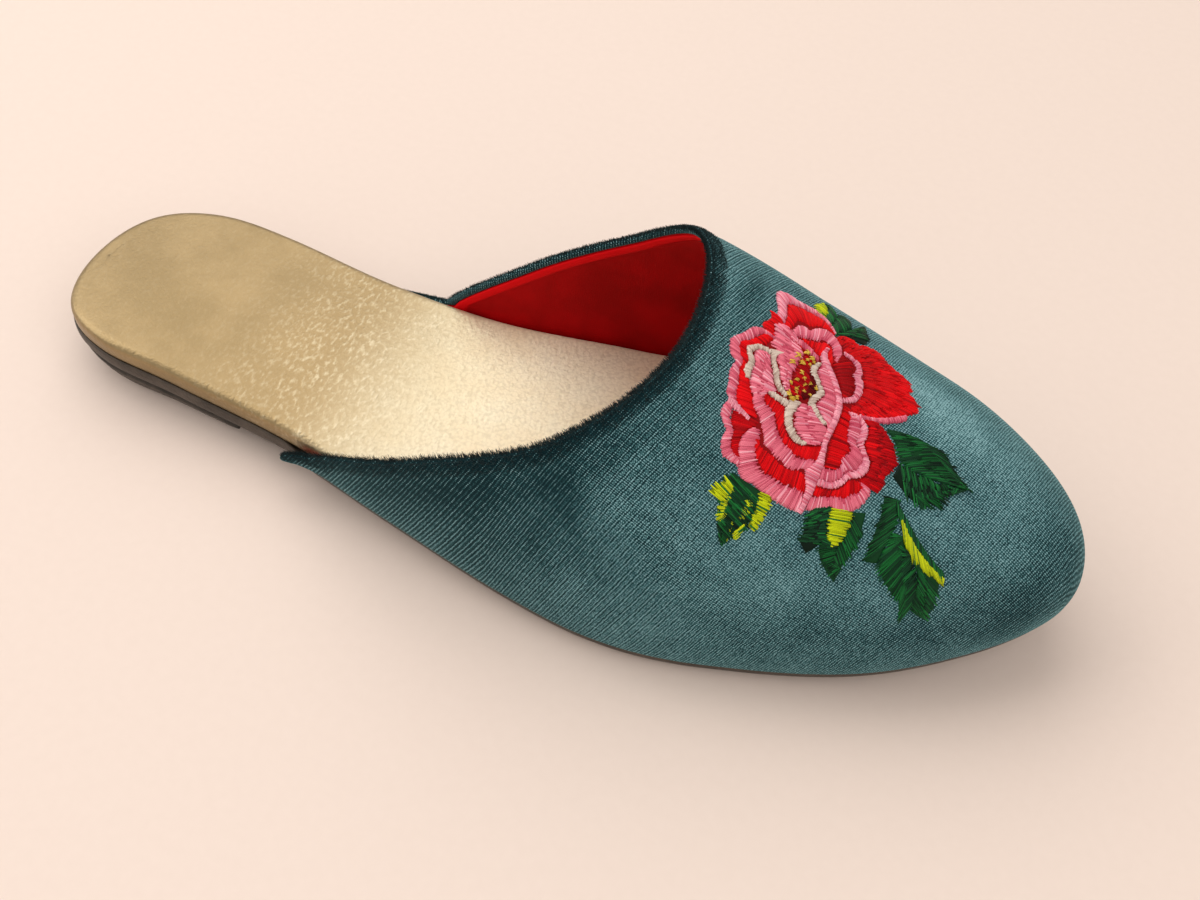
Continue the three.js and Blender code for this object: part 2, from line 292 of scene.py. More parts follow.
    def arc(self, ahead: np.ndarray, girth: np.ndarray) -> np.ndarray:
        """True length round the section from the crest, negative on the outer side.

        Chords between close places round each of a row of sections are added up and read
        between the sections in proportion.

        Args:
            ahead: Distances from the heel.
            girth: Places round the section, of the same shape.

        Returns:
            Lengths of the same shape.
        """
        half = 100
        stations = np.linspace(0.2, 0.999, 120) * self.length
        places = np.linspace(-1, 1, 2 * half + 1)
        turn, place = np.meshgrid(turn_of(stations / self.length), places, indexing="ij")
        chords = np.linalg.norm(np.diff(self.over(turn, place, 0.002), axis=1), axis=2)
        length = np.concatenate([np.zeros((len(stations), 1)), np.cumsum(chords, 1)], 1)
        length -= length[:, [half]]
        i = np.clip((ahead - stations[0]) / (stations[1] - stations[0]), 0, len(stations) - 1.001)
        j = np.clip((girth + 1) * half, 0, 2 * half - 0.001)
        i0, j0 = i.astype(int), j.astype(int)
        u, v = i - i0, j - j0
        near = blend(length[i0, j0], length[i0, j0 + 1], v)
        return blend(near, blend(length[i0 + 1, j0], length[i0 + 1, j0 + 1], v), u)


# --------------------------------------------------------------------------------------
# Meshes
# --------------------------------------------------------------------------------------


def make_piece(
    name: str,
    points: np.ndarray,
    faces: np.ndarray,
    uv: np.ndarray | None = None,
    shade: np.ndarray | None = None,
    weld: bool = True,
) -> bpy.types.Object:
    """A closed, smooth piece from four-cornered faces, turned so that its faces point outward.

    Args:
        name: Name of the piece.
        points: Corner points, (n, 3).
        faces: Corners of each face, (m, 4).
        uv: Two lengths for each point, kept as the map named cloth.
        shade: One value for each point, kept as the attribute named shade.
        weld: Whether points that lie together become one, which closes poles and seams.

    Returns:
        The piece, at the origin.
    """
    corners = points[faces]
    spread = np.cross(corners[:, 2] - corners[:, 0], corners[:, 3] - corners[:, 1])
    if (corners.mean(1) * spread).sum() < 0:
        faces = faces[:, ::-1]
    mesh = bpy.data.meshes.new(name)
    mesh.vertices.add(len(points))
    mesh.vertices.foreach_set("co", points.astype(np.float32).ravel())
    mesh.loops.add(faces.size)
    mesh.loops.foreach_set("vertex_index", faces.astype(np.int32).ravel())
    mesh.polygons.add(len(faces))
    mesh.polygons.foreach_set("loop_start", np.arange(len(faces), dtype=np.int32) * 4)
    mesh.update(calc_edges=True)
    mesh.polygons.foreach_set("use_smooth", np.ones(len(faces), bool))
    if uv is not None:
        mesh.uv_layers.new(name="cloth").data.foreach_set("uv", uv[faces].astype(np.float32).ravel())
    if shade is not None:
        mesh.attributes.new("shade", "FLOAT", "POINT").data.foreach_set("value", shade.astype(np.float32))
    if weld:
        work = bmesh.new()
        work.from_mesh(mesh)
        bmesh.ops.remove_doubles(work, verts=work.verts, dist=1e-6)
        work.to_mesh(mesh)
        work.free()
    mesh.validate()
    piece = bpy.data.objects.new(name, mesh)
    bpy.context.scene.collection.objects.link(piece)
    return piece


def ring_faces(rows: int, columns: int) -> np.ndarray:
    """Faces of a tube of closed rows, one row after the other."""
    row, column = np.meshgrid(np.arange(rows - 1) * columns, np.arange(columns), indexing="ij")
    after = (column + 1) % columns
    corners = [row + column, row + after, row + columns + after, row + columns + column]
    return np.stack(corners, -1).reshape(-1, 4)


def end_faces(row: int, columns: int, flip: bool) -> np.ndarray:
    """Faces that close one row of a tube: each joins two columns to the two that mirror them."""
    k = np.arange(columns // 2 - 1)
    faces = row * columns + np.stack([k, columns - 1 - k, columns - 2 - k, k + 1], -1)
    return faces[:, ::-1] if flip else faces


def ring_body(name: str, rings: np.ndarray, ends: tuple[bool, bool]) -> bpy.types.Object:
    """A closed body from a row of closed rings, whose column k mirrors column -1 - k.

    Args:
        name: Name of the piece.
        rings: Points, (rows, columns, 3).
        ends: Whether the first and the last ring are closed with faces.

    Returns:
        The piece.
    """
    rows, columns = rings.shape[:2]
    faces = [ring_faces(rows, columns)]
    if ends[0]:
        faces.append(end_faces(0, columns, False))
    if ends[1]:
        faces.append(end_faces(rows - 1, columns, True))
    return make_piece(name, rings.reshape(-1, 3), np.concatenate(faces))


def finish_piece(piece: bpy.types.Object, material: bpy.types.Material, slot: str, *nodes: str) -> None:
    """Gives a piece its material and body, hides the nodes that it stands for, and reports it."""
    piece.data.materials.append(material)
    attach(piece, "root")
    if nodes:
        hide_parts(*nodes)
    log.info("%s: %d faces", piece.name, len(piece.data.polygons))


# --------------------------------------------------------------------------------------
# Finishes
# --------------------------------------------------------------------------------------


class NodeBoard:
    """Short calls to add and join the nodes of one tree."""

    def __init__(self, tree: bpy.types.NodeTree) -> None:
        """Keeps the tree that the nodes go to."""
        self.tree = tree

    def add(self, kind: str, inputs: dict[Any, Any] | None = None, **settings: Any) -> bpy.types.Node:
        """Adds a node.

        Args:
            kind: Its type, without the word ShaderNode.
            inputs: Value or source socket for inputs, by name or number.
            settings: The node's own settings.

        Returns:
            The node.
        """
        node = self.tree.nodes.new("ShaderNode" + kind)
        for key, value in settings.items():
            setattr(node, key, value)
        for key, value in (inputs or {}).items():
            if isinstance(value, bpy.types.NodeSocket):
                self.tree.links.new(value, node.inputs[key])
            elif value is not None:
                node.inputs[key].default_value = value
        return node

    def math(self, operation: str, a: Any, b: Any = None, c: Any = None) -> bpy.types.NodeSocket:
        """Output of a Math node."""
        return self.add("Math", {0: a, 1: b, 2: c}, operation=operation).outputs[0]

    def mix(self, factor: Any, a: Any, b: Any) -> bpy.types.NodeSocket:
        """Output of a colour Mix node."""
        a, b = (value if isinstance(value, bpy.types.NodeSocket) else (*value, 1.0) for value in (a, b))
        return self.add("Mix", {0: factor, 6: a, 7: b}, data_type="RGBA").outputs[2]

    def ramp(self, value: Any, low: float, high: float) -> bpy.types.NodeSocket:
        """A value that rises smoothly from 0 to 1 between two bounds."""
        inputs = {"Value": value, "From Min": low, "From Max": high}
        return self.add("MapRange", inputs, interpolation_type="SMOOTHSTEP").outputs["Result"]

    def noise(
        self, vector: Any, scale: Any, detail: float = 2.0, roughness: float = 0.5
    ) -> bpy.types.NodeSocket:
        """Value of a Noise Texture."""
        inputs = {"Vector": vector, "Scale": scale, "Detail": detail, "Roughness": roughness}
        return self.add("TexNoise", inputs).outputs[0]

    def bump(self, height: Any, strength: float, distance: float) -> bpy.types.NodeSocket:
        """Normal of a Bump node."""
        return self.add("Bump", {"Height": height, "Strength": strength, "Distance": distance}).outputs[0]

    def place(self) -> bpy.types.NodeSocket:
        """Object coordinates."""
        return self.add("TexCoord").outputs["Object"]

    def cloth(self) -> bpy.types.NodeSocket:
        """The map named cloth."""
        return self.add("UVMap", uv_map="cloth").outputs[0]

    def shade(self) -> bpy.types.NodeSocket:
        """The attribute named shade."""
        return self.add("Attribute", attribute_name="shade").outputs["Fac"]


class SharedGroups:
    """Node groups that several finishes share, each built once."""

    def __init__(self) -> None:
        """Builds the groups."""
        self.weave = self._weave()
        self.grain = self._grain()
        self.fibre = self._fibre()

    @staticmethod
    def _start(name: str, inputs: dict[str, float | None], outputs: Sequence[str]) -> tuple[NodeBoard, Any]:
        """Starts a group.

        Args:
            name: Name of the group.
            inputs: Plain value for each input, or None for a vector.
            outputs: Names of the value outputs.

        Returns:
            The group's board and the sockets of its inputs.
        """
        group = bpy.data.node_groups.new(name, "ShaderNodeTree")
        for label, value in inputs.items():
            kind = "NodeSocketVector" if value is None else "NodeSocketFloat"
            socket = group.interface.new_socket(label, in_out="INPUT", socket_type=kind)
            if value is not None:
                socket.default_value = value
        for label in outputs:
            group.interface.new_socket(label, in_out="OUTPUT", socket_type="NodeSocketFloat")
        return NodeBoard(group), group.nodes.new("NodeGroupInput").outputs

    @staticmethod
    def _end(board: NodeBoard, outputs: dict[str, bpy.types.NodeSocket]) -> bpy.types.NodeTree:
        """Joins the group's outputs and gives the finished group."""
        end = board.tree.nodes.new("NodeGroupOutput")
        for label, socket in outputs.items():
            board.tree.links.new(socket, end.inputs[label])
        return board.tree

    def _weave(self) -> bpy.types.NodeTree:
        """Ribs of short dashes across the cloth, and tufts between them: sine waves with a little noise."""
        inputs = {"Cloth": None, "Rib pitch": 0.0013, "Tuft pitch": 0.0006, "Wander": 0.0004}
        board, get = self._start("Ribbed weave", inputs, ("Rib", "Tuft"))
        wander = board.noise(get["Cloth"], 900.0, 2.0)
        parts = board.add("SeparateXYZ", {0: get["Cloth"]}).outputs
        shift = board.math("MULTIPLY", board.math("SUBTRACT", wander, 0.5), get["Wander"])
        across = board.math("ADD", parts[0], shift)
        along = board.math("ADD", parts[1], shift)
        line = board.ramp(self._wave(board, across, get["Rib pitch"]), 0.4, 0.95)
        dash = board.ramp(self._wave(board, along, board.math("MULTIPLY", get["Tuft pitch"], 0.85)), 0.1, 0.8)
        rib = board.math("MULTIPLY", line, board.math("MULTIPLY_ADD", dash, 0.8, 0.2))
        tufts = [self._wave(board, length, get["Tuft pitch"]) for length in (across, along)]
        return self._end(board, {"Rib": rib, "Tuft": board.math("MULTIPLY", *tufts)})

    @staticmethod
    def _wave(board: NodeBoard, length: Any, pitch: Any) -> bpy.types.NodeSocket:
        """A sine wave from 0 to 1 with a pitch."""
        angle = board.math("MULTIPLY", board.math("DIVIDE", length, pitch), 2 * np.pi)
        return board.math("MULTIPLY_ADD", board.math("SINE", angle), 0.5, 0.5)

    def _grain(self) -> bpy.types.NodeTree:
        """Leather grain: small cells softened by noise, with finer noise for wrinkles."""
        board, get = self._start("Leather grain", {"Place": None, "Cell size": 0.0008}, ("Height", "Crease"))
        scale = board.math("DIVIDE", 1.0, get["Cell size"])
        coarse = {"Vector": get["Place"], "Scale": board.math("MULTIPLY", scale, 0.3)}
        warp = board.add("TexNoise", coarse).outputs[1]
        reach = board.math("MULTIPLY", get["Cell size"], 2.0)
        moved = board.add("VectorMath", {0: warp, "Scale": reach}, operation="SCALE").outputs[0]
        place = board.add("VectorMath", {0: get["Place"], 1: moved}, operation="ADD").outputs[0]
        cells = board.add("TexVoronoi", {"Vector": place, "Scale": scale}, feature="SMOOTH_F1").outputs[0]
        crease = board.ramp(cells, 0.25, 0.75)
        fine = board.noise(place, board.math("MULTIPLY", scale, 2.5), 3.0)
        sunk = board.math("MULTIPLY", crease, 0.7)
        height = board.math("SUBTRACT", board.math("MULTIPLY", fine, 0.5), sunk)
        return self._end(board, {"Height": height, "Crease": crease})

    def _fibre(self) -> bpy.types.NodeTree:
        """Twisted strands of a thread: slanting waves over its own length and width."""
        board, get = self._start("Thread twist", {"Cloth": None, "Twist": 0.0004}, ("Height",))
        parts = board.add("SeparateXYZ", {0: get["Cloth"]}).outputs
        along = board.math("DIVIDE", parts[0], get["Twist"])
        turns = board.math("ADD", along, board.math("MULTIPLY", parts[1], 1500.0))
        return self._end(board, {"Height": self._wave(board, turns, 1.0)})


def new_material(name: str) -> tuple[bpy.types.Material, NodeBoard, bpy.types.Node]:
    """A material with nodes.

    Args:
        name: Name of the material.

    Returns:
        The material, its board and its Principled BSDF.
    """
    material = bpy.data.materials.new(name)
    material.use_nodes = True
    board = NodeBoard(material.node_tree)
    return material, board, material.node_tree.nodes["Principled BSDF"]


def join(board: NodeBoard, shader: bpy.types.Node, **sockets: Any) -> None:
    """Joins or sets a shader's inputs, whose names have underscores for spaces."""
    for key, value in sockets.items():
        name = key.replace("_", " ")
        if isinstance(value, bpy.types.NodeSocket):
            board.tree.links.new(value, shader.inputs[name])
        else:
            shader.inputs[name].default_value = value


@dataclass(frozen=True)
class VelvetFinish:
    """Ribbed velvet: painted shade turns its pile dark and painted sheen turns it pale.

    Attributes:
        ribs_from: X from which the ribs grow fainter towards the toe.
        ribs_to: X at which they are faintest.
        rib: Middle of the ribs' pattern, and the weight with which it changes the pile's lie, its painted
            sheen and shade.
        tufts: The same for the tufts.
        specks: The same for the fine specks.
        clouds: The same for the soft clouds.
        body_from: Lie, the painted sheen and shade, between which the pile turns from deep to body.
        pale_from: Lie between which it turns pale, a painted sheen.
        relief: How much tufts and specks rise beside the ribs.
    """

    # deep colours painted shade and the weave's dark gaps; pale is a painted sheen on the pile and its ribs.
    deep: Colour = (0.003, 0.018, 0.023)
    body: Colour = (0.044, 0.136, 0.149)
    pale: Colour = (0.25, 0.43, 0.46)
    gleam: Colour = (0.4, 0.78, 0.8)
    rib_pitch: float = 0.00074
    tuft_pitch: float = 0.0005
    ribs_from: float = -0.01
    ribs_to: float = 0.06
    ribs_least: float = 0.13
    rib: tuple[float, float] = (0.3, 1.25)
    tufts: tuple[float, float] = (0.25, 0.9)
    specks: tuple[float, float] = (0.5, 1.5)
    clouds: tuple[float, float] = (0.5, 0.5)
    body_from: tuple[float, float] = (-0.02, 0.72)
    pale_from: tuple[float, float] = (0.5, 1.1)
    relief: tuple[float, float] = (0.35, 0.7)

    def build(self, groups: SharedGroups) -> bpy.types.Material:
        """The material, patterned by the cloth map and by the lie of the pile, its painted sheen and shade in
        the attribute named shade.
        """
        material, board, shader = new_material("Teal velvet")
        place = board.place()
        inputs = {"Cloth": board.cloth(), "Rib pitch": self.rib_pitch, "Tuft pitch": self.tuft_pitch}
        weave = board.add("Group", inputs, node_tree=groups.weave).outputs
        ahead = board.add("SeparateXYZ", {0: place}).outputs[0]
        bounds = {"Value": ahead, "From Min": self.ribs_from, "From Max": self.ribs_to}
        bounds |= {"To Min": 1.0, "To Max": self.ribs_least}
        strength = board.add("MapRange", bounds).outputs["Result"]
        rib = board.math("MULTIPLY", board.math("SUBTRACT", weave["Rib"], self.rib[0]), strength)
        specks = board.noise(place, 2100.0, 2.0, 0.6)
        clouds = board.noise(place, 110.0, 4.0, 0.6)
        # The attribute named shade holds painted sheen and painted shade; the weave's ribs, tufts, specks and
        # clouds are added to it.
        lie = board.math("MULTIPLY_ADD", rib, self.rib[1], board.shade())
        parts = ((weave["Tuft"], self.tufts), (specks, self.specks), (clouds, self.clouds))
        for pattern, (middle, weight) in parts:
            lie = board.math("MULTIPLY_ADD", board.math("SUBTRACT", pattern, middle), weight, lie)
        colour = board.mix(board.ramp(lie, *self.body_from), self.deep, self.body)
        colour = board.mix(board.ramp(lie, *self.pale_from), colour, self.pale)
        height = board.math("MULTIPLY_ADD", specks, self.relief[1], rib)
        height = board.math("MULTIPLY_ADD", weave["Tuft"], self.relief[0], height)
        join(board, shader, Base_Color=colour, Roughness=0.9, Normal=board.bump(height, 0.6, 0.0002))
        join(board, shader, Sheen_Weight=0.3, Sheen_Roughness=0.35, Sheen_Tint=(*self.gleam, 1.0))
        join(board, shader, Specular_IOR_Level=0.1)
        return material


@dataclass(frozen=True)
class LiningFinish:
    """Deep red lining with a slightly brighter turned edge."""

    deep: Colour = (0.3, 0.0005, 0.001)
    body: Colour = (0.42, 0.0005, 0.002)
    edge: Colour = (0.7, 0.002, 0.005)
    rib_pitch: float = 0.0007
    tuft_pitch: float = 0.0005

    def build(self, groups: SharedGroups) -> bpy.types.Material:
        """The material: the turned edge is where the shade is 1."""
        material, board, shader = new_material("Red lining")
        inputs = {"Cloth": board.cloth(), "Rib pitch": self.rib_pitch, "Tuft pitch": self.tuft_pitch}
        weave = board.add("Group", inputs, node_tree=groups.weave).outputs
        clouds = board.noise(board.place(), 90.0, 3.0)
        colour = board.mix(board.ramp(clouds, 0.3, 0.7), self.deep, self.body)
        colour = board.mix(board.shade(), colour, self.edge)
        bump = board.bump(weave["Tuft"], 0.3, 0.0001)
        join(board, shader, Base_Color=colour, Roughness=0.7, Normal=bump, Specular_IOR_Level=0.08)
        return material


@dataclass(frozen=True)
class GoldFinish:
    """Pale gold coated leather: smooth under the heel, wrinkled under the arch, finely grained in front.

    Attributes:
        wrinkles_at: X between which the wrinkles rise, and between which they fade again.
        heel_shade_at: X between which the painted shade under the heel fades.
        front_at: X between which the leather turns pale, a painted reflection.
        wrinkle_slant: Turn of the wrinkles about Z.
        wrinkle_squeeze: Scale of the wrinkles' pattern along each axis.
        crease_share: How much of the darker crease colour lies in the grain's creases.
        glint: Share of painted glints, pale highlights on the pebbles, where there are wrinkles, and
            elsewhere.
        relief: Height of the pebbles where there are wrinkles, and elsewhere.
        roughness: Roughness under the heel, and how much more it is in front.
        metallic: Metallic share under the heel, and how much more it is in front.
    """

    # The first colour is mottled painted shade under the heel.
    heel_shade: Colour = (0.26, 0.188, 0.092)
    gold: Colour = (0.33, 0.24, 0.122)
    # bright and pale are a painted reflection that turns the front pale; pale also colours the painted
    # glints.
    bright: Colour = (0.92, 0.8, 0.55)
    pale: Colour = (0.95, 0.88, 0.66)
    crease_colour: Colour = (0.28, 0.19, 0.08)
    grain_size: float = 0.0007
    wrinkles_at: tuple[float, float, float, float] = (-0.085, -0.045, -0.005, 0.025)
    heel_shade_at: tuple[float, float] = (-0.09, -0.035)
    front_at: tuple[float, float] = (-0.055, -0.005)
    wrinkle_slant: float = 0.65
    wrinkle_squeeze: tuple[float, float, float] = (1.0, 0.55, 1.0)
    crease_share: float = 0.2
    glint: tuple[float, float] = (0.3, 0.03)
    relief: tuple[float, float] = (2.6, 0.5)
    roughness: tuple[float, float] = (0.38, 0.12)
    metallic: tuple[float, float] = (0.85, -0.7)

    def build(self, groups: SharedGroups) -> bpy.types.Material:
        """The material, patterned by Object coordinates."""
        material, board, shader = new_material("Gold leather")
        place = board.place()
        ahead = board.add("SeparateXYZ", {0: place}).outputs[0]
        inputs = {"Place": place, "Cell size": self.grain_size}
        grain = board.add("Group", inputs, node_tree=groups.grain).outputs
        clouds = board.noise(place, 45.0, 4.0, 0.6)
        turned = {0: place, 2: (0.0, 0.0, self.wrinkle_slant), 3: self.wrinkle_squeeze}
        pebbles = board.noise(board.add("Mapping", turned).outputs[0], 1150.0, 2.0, 0.5)
        rise, high, fall, low = self.wrinkles_at
        wrinkled = board.math("MULTIPLY", board.ramp(ahead, rise, high), board.ramp(ahead, low, fall))
        wrinkled = board.math("MULTIPLY", wrinkled, board.ramp(clouds, 0.25, 0.6))
        front = board.ramp(ahead, *self.front_at)
        # Painted shade: darker, mottled colour under the heel, fading towards the arch.
        colour = board.mix(board.ramp(clouds, 0.35, 0.7), self.heel_shade, self.gold)
        colour = board.mix(board.ramp(ahead, *self.heel_shade_at), colour, self.gold)
        # Painted reflection: the leather turns pale in front.
        colour = board.mix(front, colour, board.mix(board.ramp(clouds, 0.3, 0.75), self.bright, self.pale))
        colour = board.mix(board.math("MULTIPLY", grain["Crease"], self.crease_share), colour, self.crease_colour)
        # Painted glints: pale highlights on the pebbles, more where there are wrinkles.
        glints = board.math("MULTIPLY_ADD", wrinkled, *self.glint)
        colour = board.mix(board.math("MULTIPLY", board.ramp(pebbles, 0.45, 0.8), glints), colour, self.pale)
        height = board.math("MULTIPLY", pebbles, board.math("MULTIPLY_ADD", wrinkled, *self.relief))
        height = board.math("MULTIPLY_ADD", grain["Height"], 0.6, height)
        rough, metal = (
            board.math("MULTIPLY_ADD", front, more, plain) for plain, more in (self.roughness, self.metallic)
        )
        bump = board.bump(height, 0.45, 0.00016)
        join(board, shader, Base_Color=colour, Metallic=metal, Roughness=rough, Normal=bump)
        return material


@dataclass(frozen=True)
class SoleFinish:
    """Dark brown sole material with a fine grain and scuffs."""

    name: str
    deep: Colour
    body: Colour
    roughness: float
    cell_size: float = 0.0006

    def build(self, groups: SharedGroups) -> bpy.types.Material:
        """The material, patterned by Object coordinates."""
        material, board, shader = new_material(self.name)
        place = board.place()
        inputs = {"Place": place, "Cell size": self.cell_size}
        grain = board.add("Group", inputs, node_tree=groups.grain).outputs
        scuffs = board.noise(place, 180.0, 4.0, 0.65)
        colour = board.mix(board.ramp(scuffs, 0.3, 0.75), self.deep, self.body)
        bump = board.bump(board.math("MULTIPLY_ADD", scuffs, 0.8, grain["Height"]), 0.4, 0.00015)
        rough = board.math("MULTIPLY_ADD", scuffs, 0.2, self.roughness - 0.1)
        join(board, shader, Base_Color=colour, Roughness=rough, Normal=bump, Specular_IOR_Level=0.3)
        return material


class Thread(Enum):
    """Embroidery threads: name, dark and light colour, and how metallic each is."""

    GARNET = ("Garnet thread", (0.06, 0.0, 0.001), (0.24, 0.0, 0.004), 0.0)
    CRIMSON = ("Crimson thread", (0.2, 0.0, 0.002), (0.55, 0.0, 0.004), 0.0)
    SCARLET = ("Scarlet thread", (0.42, 0.0, 0.002), (0.86, 0.002, 0.006), 0.0)
    ROSE = ("Rose pink thread", (0.5, 0.05, 0.1), (0.86, 0.22, 0.3), 0.0)
    BLUSH = ("Light pink thread", (0.62, 0.16, 0.24), (0.96, 0.44, 0.52), 0.0)
    CREAM = ("Cream thread", (0.4, 0.27, 0.22), (0.76, 0.64, 0.55), 0.0)
    GOLD = ("Gold thread", (0.4, 0.22, 0.01), (0.85, 0.6, 0.1), 0.6)
    BOTTLE = ("Bottle green thread", (0.001, 0.006, 0.003), (0.008, 0.06, 0.022), 0.0)
    GREEN = ("Leaf green thread", (0.002, 0.03, 0.008), (0.012, 0.165, 0.035), 0.0)
    LIME = ("Lime thread", (0.14, 0.18, 0.001), (0.6, 0.68, 0.008), 0.0)

    def build(self, groups: SharedGroups) -> bpy.types.Material:
        """The thread's material, shaded stitch by stitch."""
        name, dark, light, metallic = self.value
        material, board, shader = new_material(name)
        twist = board.add("Group", {"Cloth": board.cloth()}, node_tree=groups.fibre).outputs["Height"]
        # The twist's waves also lighten and darken the colour a little: painted shade in the grooves between
        # the strands.
        strand = board.math("MULTIPLY_ADD", twist, 0.15, board.math("MULTIPLY", board.shade(), 0.9))
        join(board, shader, Base_Color=board.mix(strand, dark, light), Normal=board.bump(twist, 0.3, 0.00005))
        join(board, shader, Roughness=0.5, Metallic=metallic, Specular_IOR_Level=0.1)
        return material


# --------------------------------------------------------------------------------------
# Sole, heel and footbed
# --------------------------------------------------------------------------------------


@dataclass
class Slab:
    """A slab under the foot with a shaped edge, from the heel to a place that depends on the level.

    Attributes:
        last: The last whose outline it follows.
        inset: How far each step of the edge's profile lies inside the outline, bottom to top.
        rise: Height of each step over the sole's underside.
    """

    last: Last
    inset: Sequence[float]
    rise: Sequence[float]
    rows: int = 240
    caps: int = 24
    crown: float = 0.0

    def edge(self, turn: np.ndarray, side: int, inset: np.ndarray, rise: np.ndarray) -> np.ndarray:
        """Points of the edge: set in from the outline, over the underside that lies below them."""
        point = self.last.beside(turn, side, -np.asarray(inset), 0.0)
        point[..., 2] = self.last.underside(point[..., 0] - self.last.heel) + rise
        return point

    def stop(self) -> np.ndarray:
        """Turn at which each step of the profile ends."""
        return np.full(len(self.inset), np.pi)

    def rings(self) -> np.ndarray:
        """Rings from heel to toe: up one side, across the top with its crown, and down the other."""
        share = np.linspace(0, 1, self.rows)[:, None]
        turn = share * self.stop()[None, :]
        inset, rise = np.asarray(self.inset)[None, :], np.asarray(self.rise)[None, :]
        outer = self.edge(turn, -1, inset, rise)
        inner = self.edge(turn, 1, inset, rise)
        u = (np.arange(1, self.caps) / self.caps)[None, :, None]
        top = blend(outer[:, -1:, :], inner[:, -1:, :], u)
        bulge = (1 - (2 * u - 1) ** 2) ** 1.5 * np.sin(turn[:, -1:, None])
        top[..., 2] += (self.crown * bulge)[..., 0]
        return np.concatenate([outer, top, inner[:, ::-1]], 1)

    def build(self, name: str) -> bpy.types.Object:
        """The closed body."""
        return ring_body(name, self.rings(), (False, False))


@dataclass
class HeelLift(Slab):
    """Low heel, undercut all round, with a breast that sweeps forward to the sole."""

    heel_length: float = 0.05
    breast_sweep: float = 0.007

    def edge(self, turn: np.ndarray, side: int, inset: np.ndarray, rise: np.ndarray) -> np.ndarray:
        """Points of the edge: rise is a share of the room between the floor and the sole."""
        point = self.last.beside(turn, side, -np.asarray(inset), 0.0)
        room = self.last.underside(point[..., 0] - self.last.heel) - self.last.seam
        point[..., 2] = room * rise
        return point

    def stop(self) -> np.ndarray:
        """Turn at which each step ends: the breast sweeps forward with the square of the rise."""
        ahead = self.heel_length + self.breast_sweep * np.asarray(self.rise) ** 2
        return turn_of(ahead / self.last.length)

    def build(self, name: str) -> bpy.types.Object:
        """The closed body, its breast closed with faces."""
        return ring_body(name, self.rings(), (False, True))


@dataclass
class Outsole(Slab):
    """Thin sole: its rim laps the footbed's side behind the upper, and runs level under the upper.

    Attributes:
        stand_out: How much further out its edge lies under the upper.
        fade: Length over which the edge changes at the upper's rear ends.
    """

    stand_out: float = 0.0014
    fade: float = 0.01

    def edge(self, turn: np.ndarray, side: int, inset: np.ndarray, rise: np.ndarray) -> np.ndarray:
        """Points of the edge: the part of the rise above the sole fades out under the upper."""
        start = self.last.topline(np.array(float(side))) * self.last.length
        under = np.clip((self.last.station(turn) - start + 0.003) / self.fade, 0, 1)
        over = np.maximum(rise - self.last.sole_thickness, 0)
        return super().edge(turn, side, inset - self.stand_out * under, rise - over * under)


@dataclass
class Underfoot:
    """Everything under the foot: outsole, heel and padded footbed."""

    last: Last
    groups: SharedGroups
    clearance: float = 0.0005

    def outsole(self) -> None:
        """Thin sole, drawn in below, whose rim laps the foot of the footbed's side."""
        t = np.array([0, 0.03, 0.1, 0.22, 0.38, 0.55, 0.7, 0.82, 0.9, 0.96, 1.0])
        inset = 0.0002 + 0.0016 * (1 - t) ** 2 + 0.0005 * (1 - t) ** 12
        rim = [(0.2, 4.4), (0.22, 4.9), (0.34, 5.2), (0.6, 5.3), (0.95, 5.2), (1.15, 4.9), (1.2, 3.9)]
        rim = np.array(rim) * MM
        rise = np.concatenate([self.last.sole_thickness * t, rim[:, 1]])
        slab = Outsole(self.last, np.concatenate([inset, rim[:, 0]]), rise)
        finish = SoleFinish("Sole leather", (0.04, 0.03, 0.022), (0.085, 0.065, 0.05), 0.5)
        finish_piece(slab.build("outsole_leather"), finish.build(self.groups), "sole_leather", "outsole")

    def heel(self) -> None:
        """Heel lift with lightly rounded lower edge."""
        t = np.array([0, 0.04, 0.1, 0.2, 0.35, 0.5, 0.65, 0.8, 0.92, 1.0])
        inset = 0.0012 + 0.0034 * (1 - t) ** 1.5 + 0.0004 * (1 - t) ** 14
        slab = HeelLift(self.last, inset, t, rows=90, caps=13)
        finish = SoleFinish("Heel rubber", (0.04, 0.031, 0.024), (0.09, 0.07, 0.055), 0.6)
        finish_piece(slab.build("heel_rubber"), finish.build(self.groups), "heel_rubber", "heel_lift")

    def footbed(self) -> None:
        """Padded footbed: wrapped side, rounded edge, crowned middle."""
        profile = np.array(
            [
                (1.6, 0.0), (1.35, 0.6), (1.0, 1.1), (0.62, 1.5), (0.5, 2.1), (0.46, 2.9), (0.45, 3.7),
                (0.47, 4.3),
                (0.56, 4.8), (0.76, 5.2), (1.05, 5.5), (1.45, 5.72), (1.95, 5.86), (2.55, 5.93), (3.2, 5.93),
                (3.9, 5.94), (4.8, 5.97),
            ]
        ) * MM
        rise = self.last.bed_foot + profile[:, 1]
        slab = Slab(self.last, profile[:, 0], rise, rows=300, caps=60, crown=0.0007)
        piece = slab.build("footbed_cover")
        finish_piece(piece, GoldFinish().build(self.groups), "footbed_leather", "footbed")

    def build(self) -> None:
        """Builds and dresses each piece."""
        self.outsole()
        self.heel()
        self.footbed()


# --------------------------------------------------------------------------------------
# Upper
# --------------------------------------------------------------------------------------


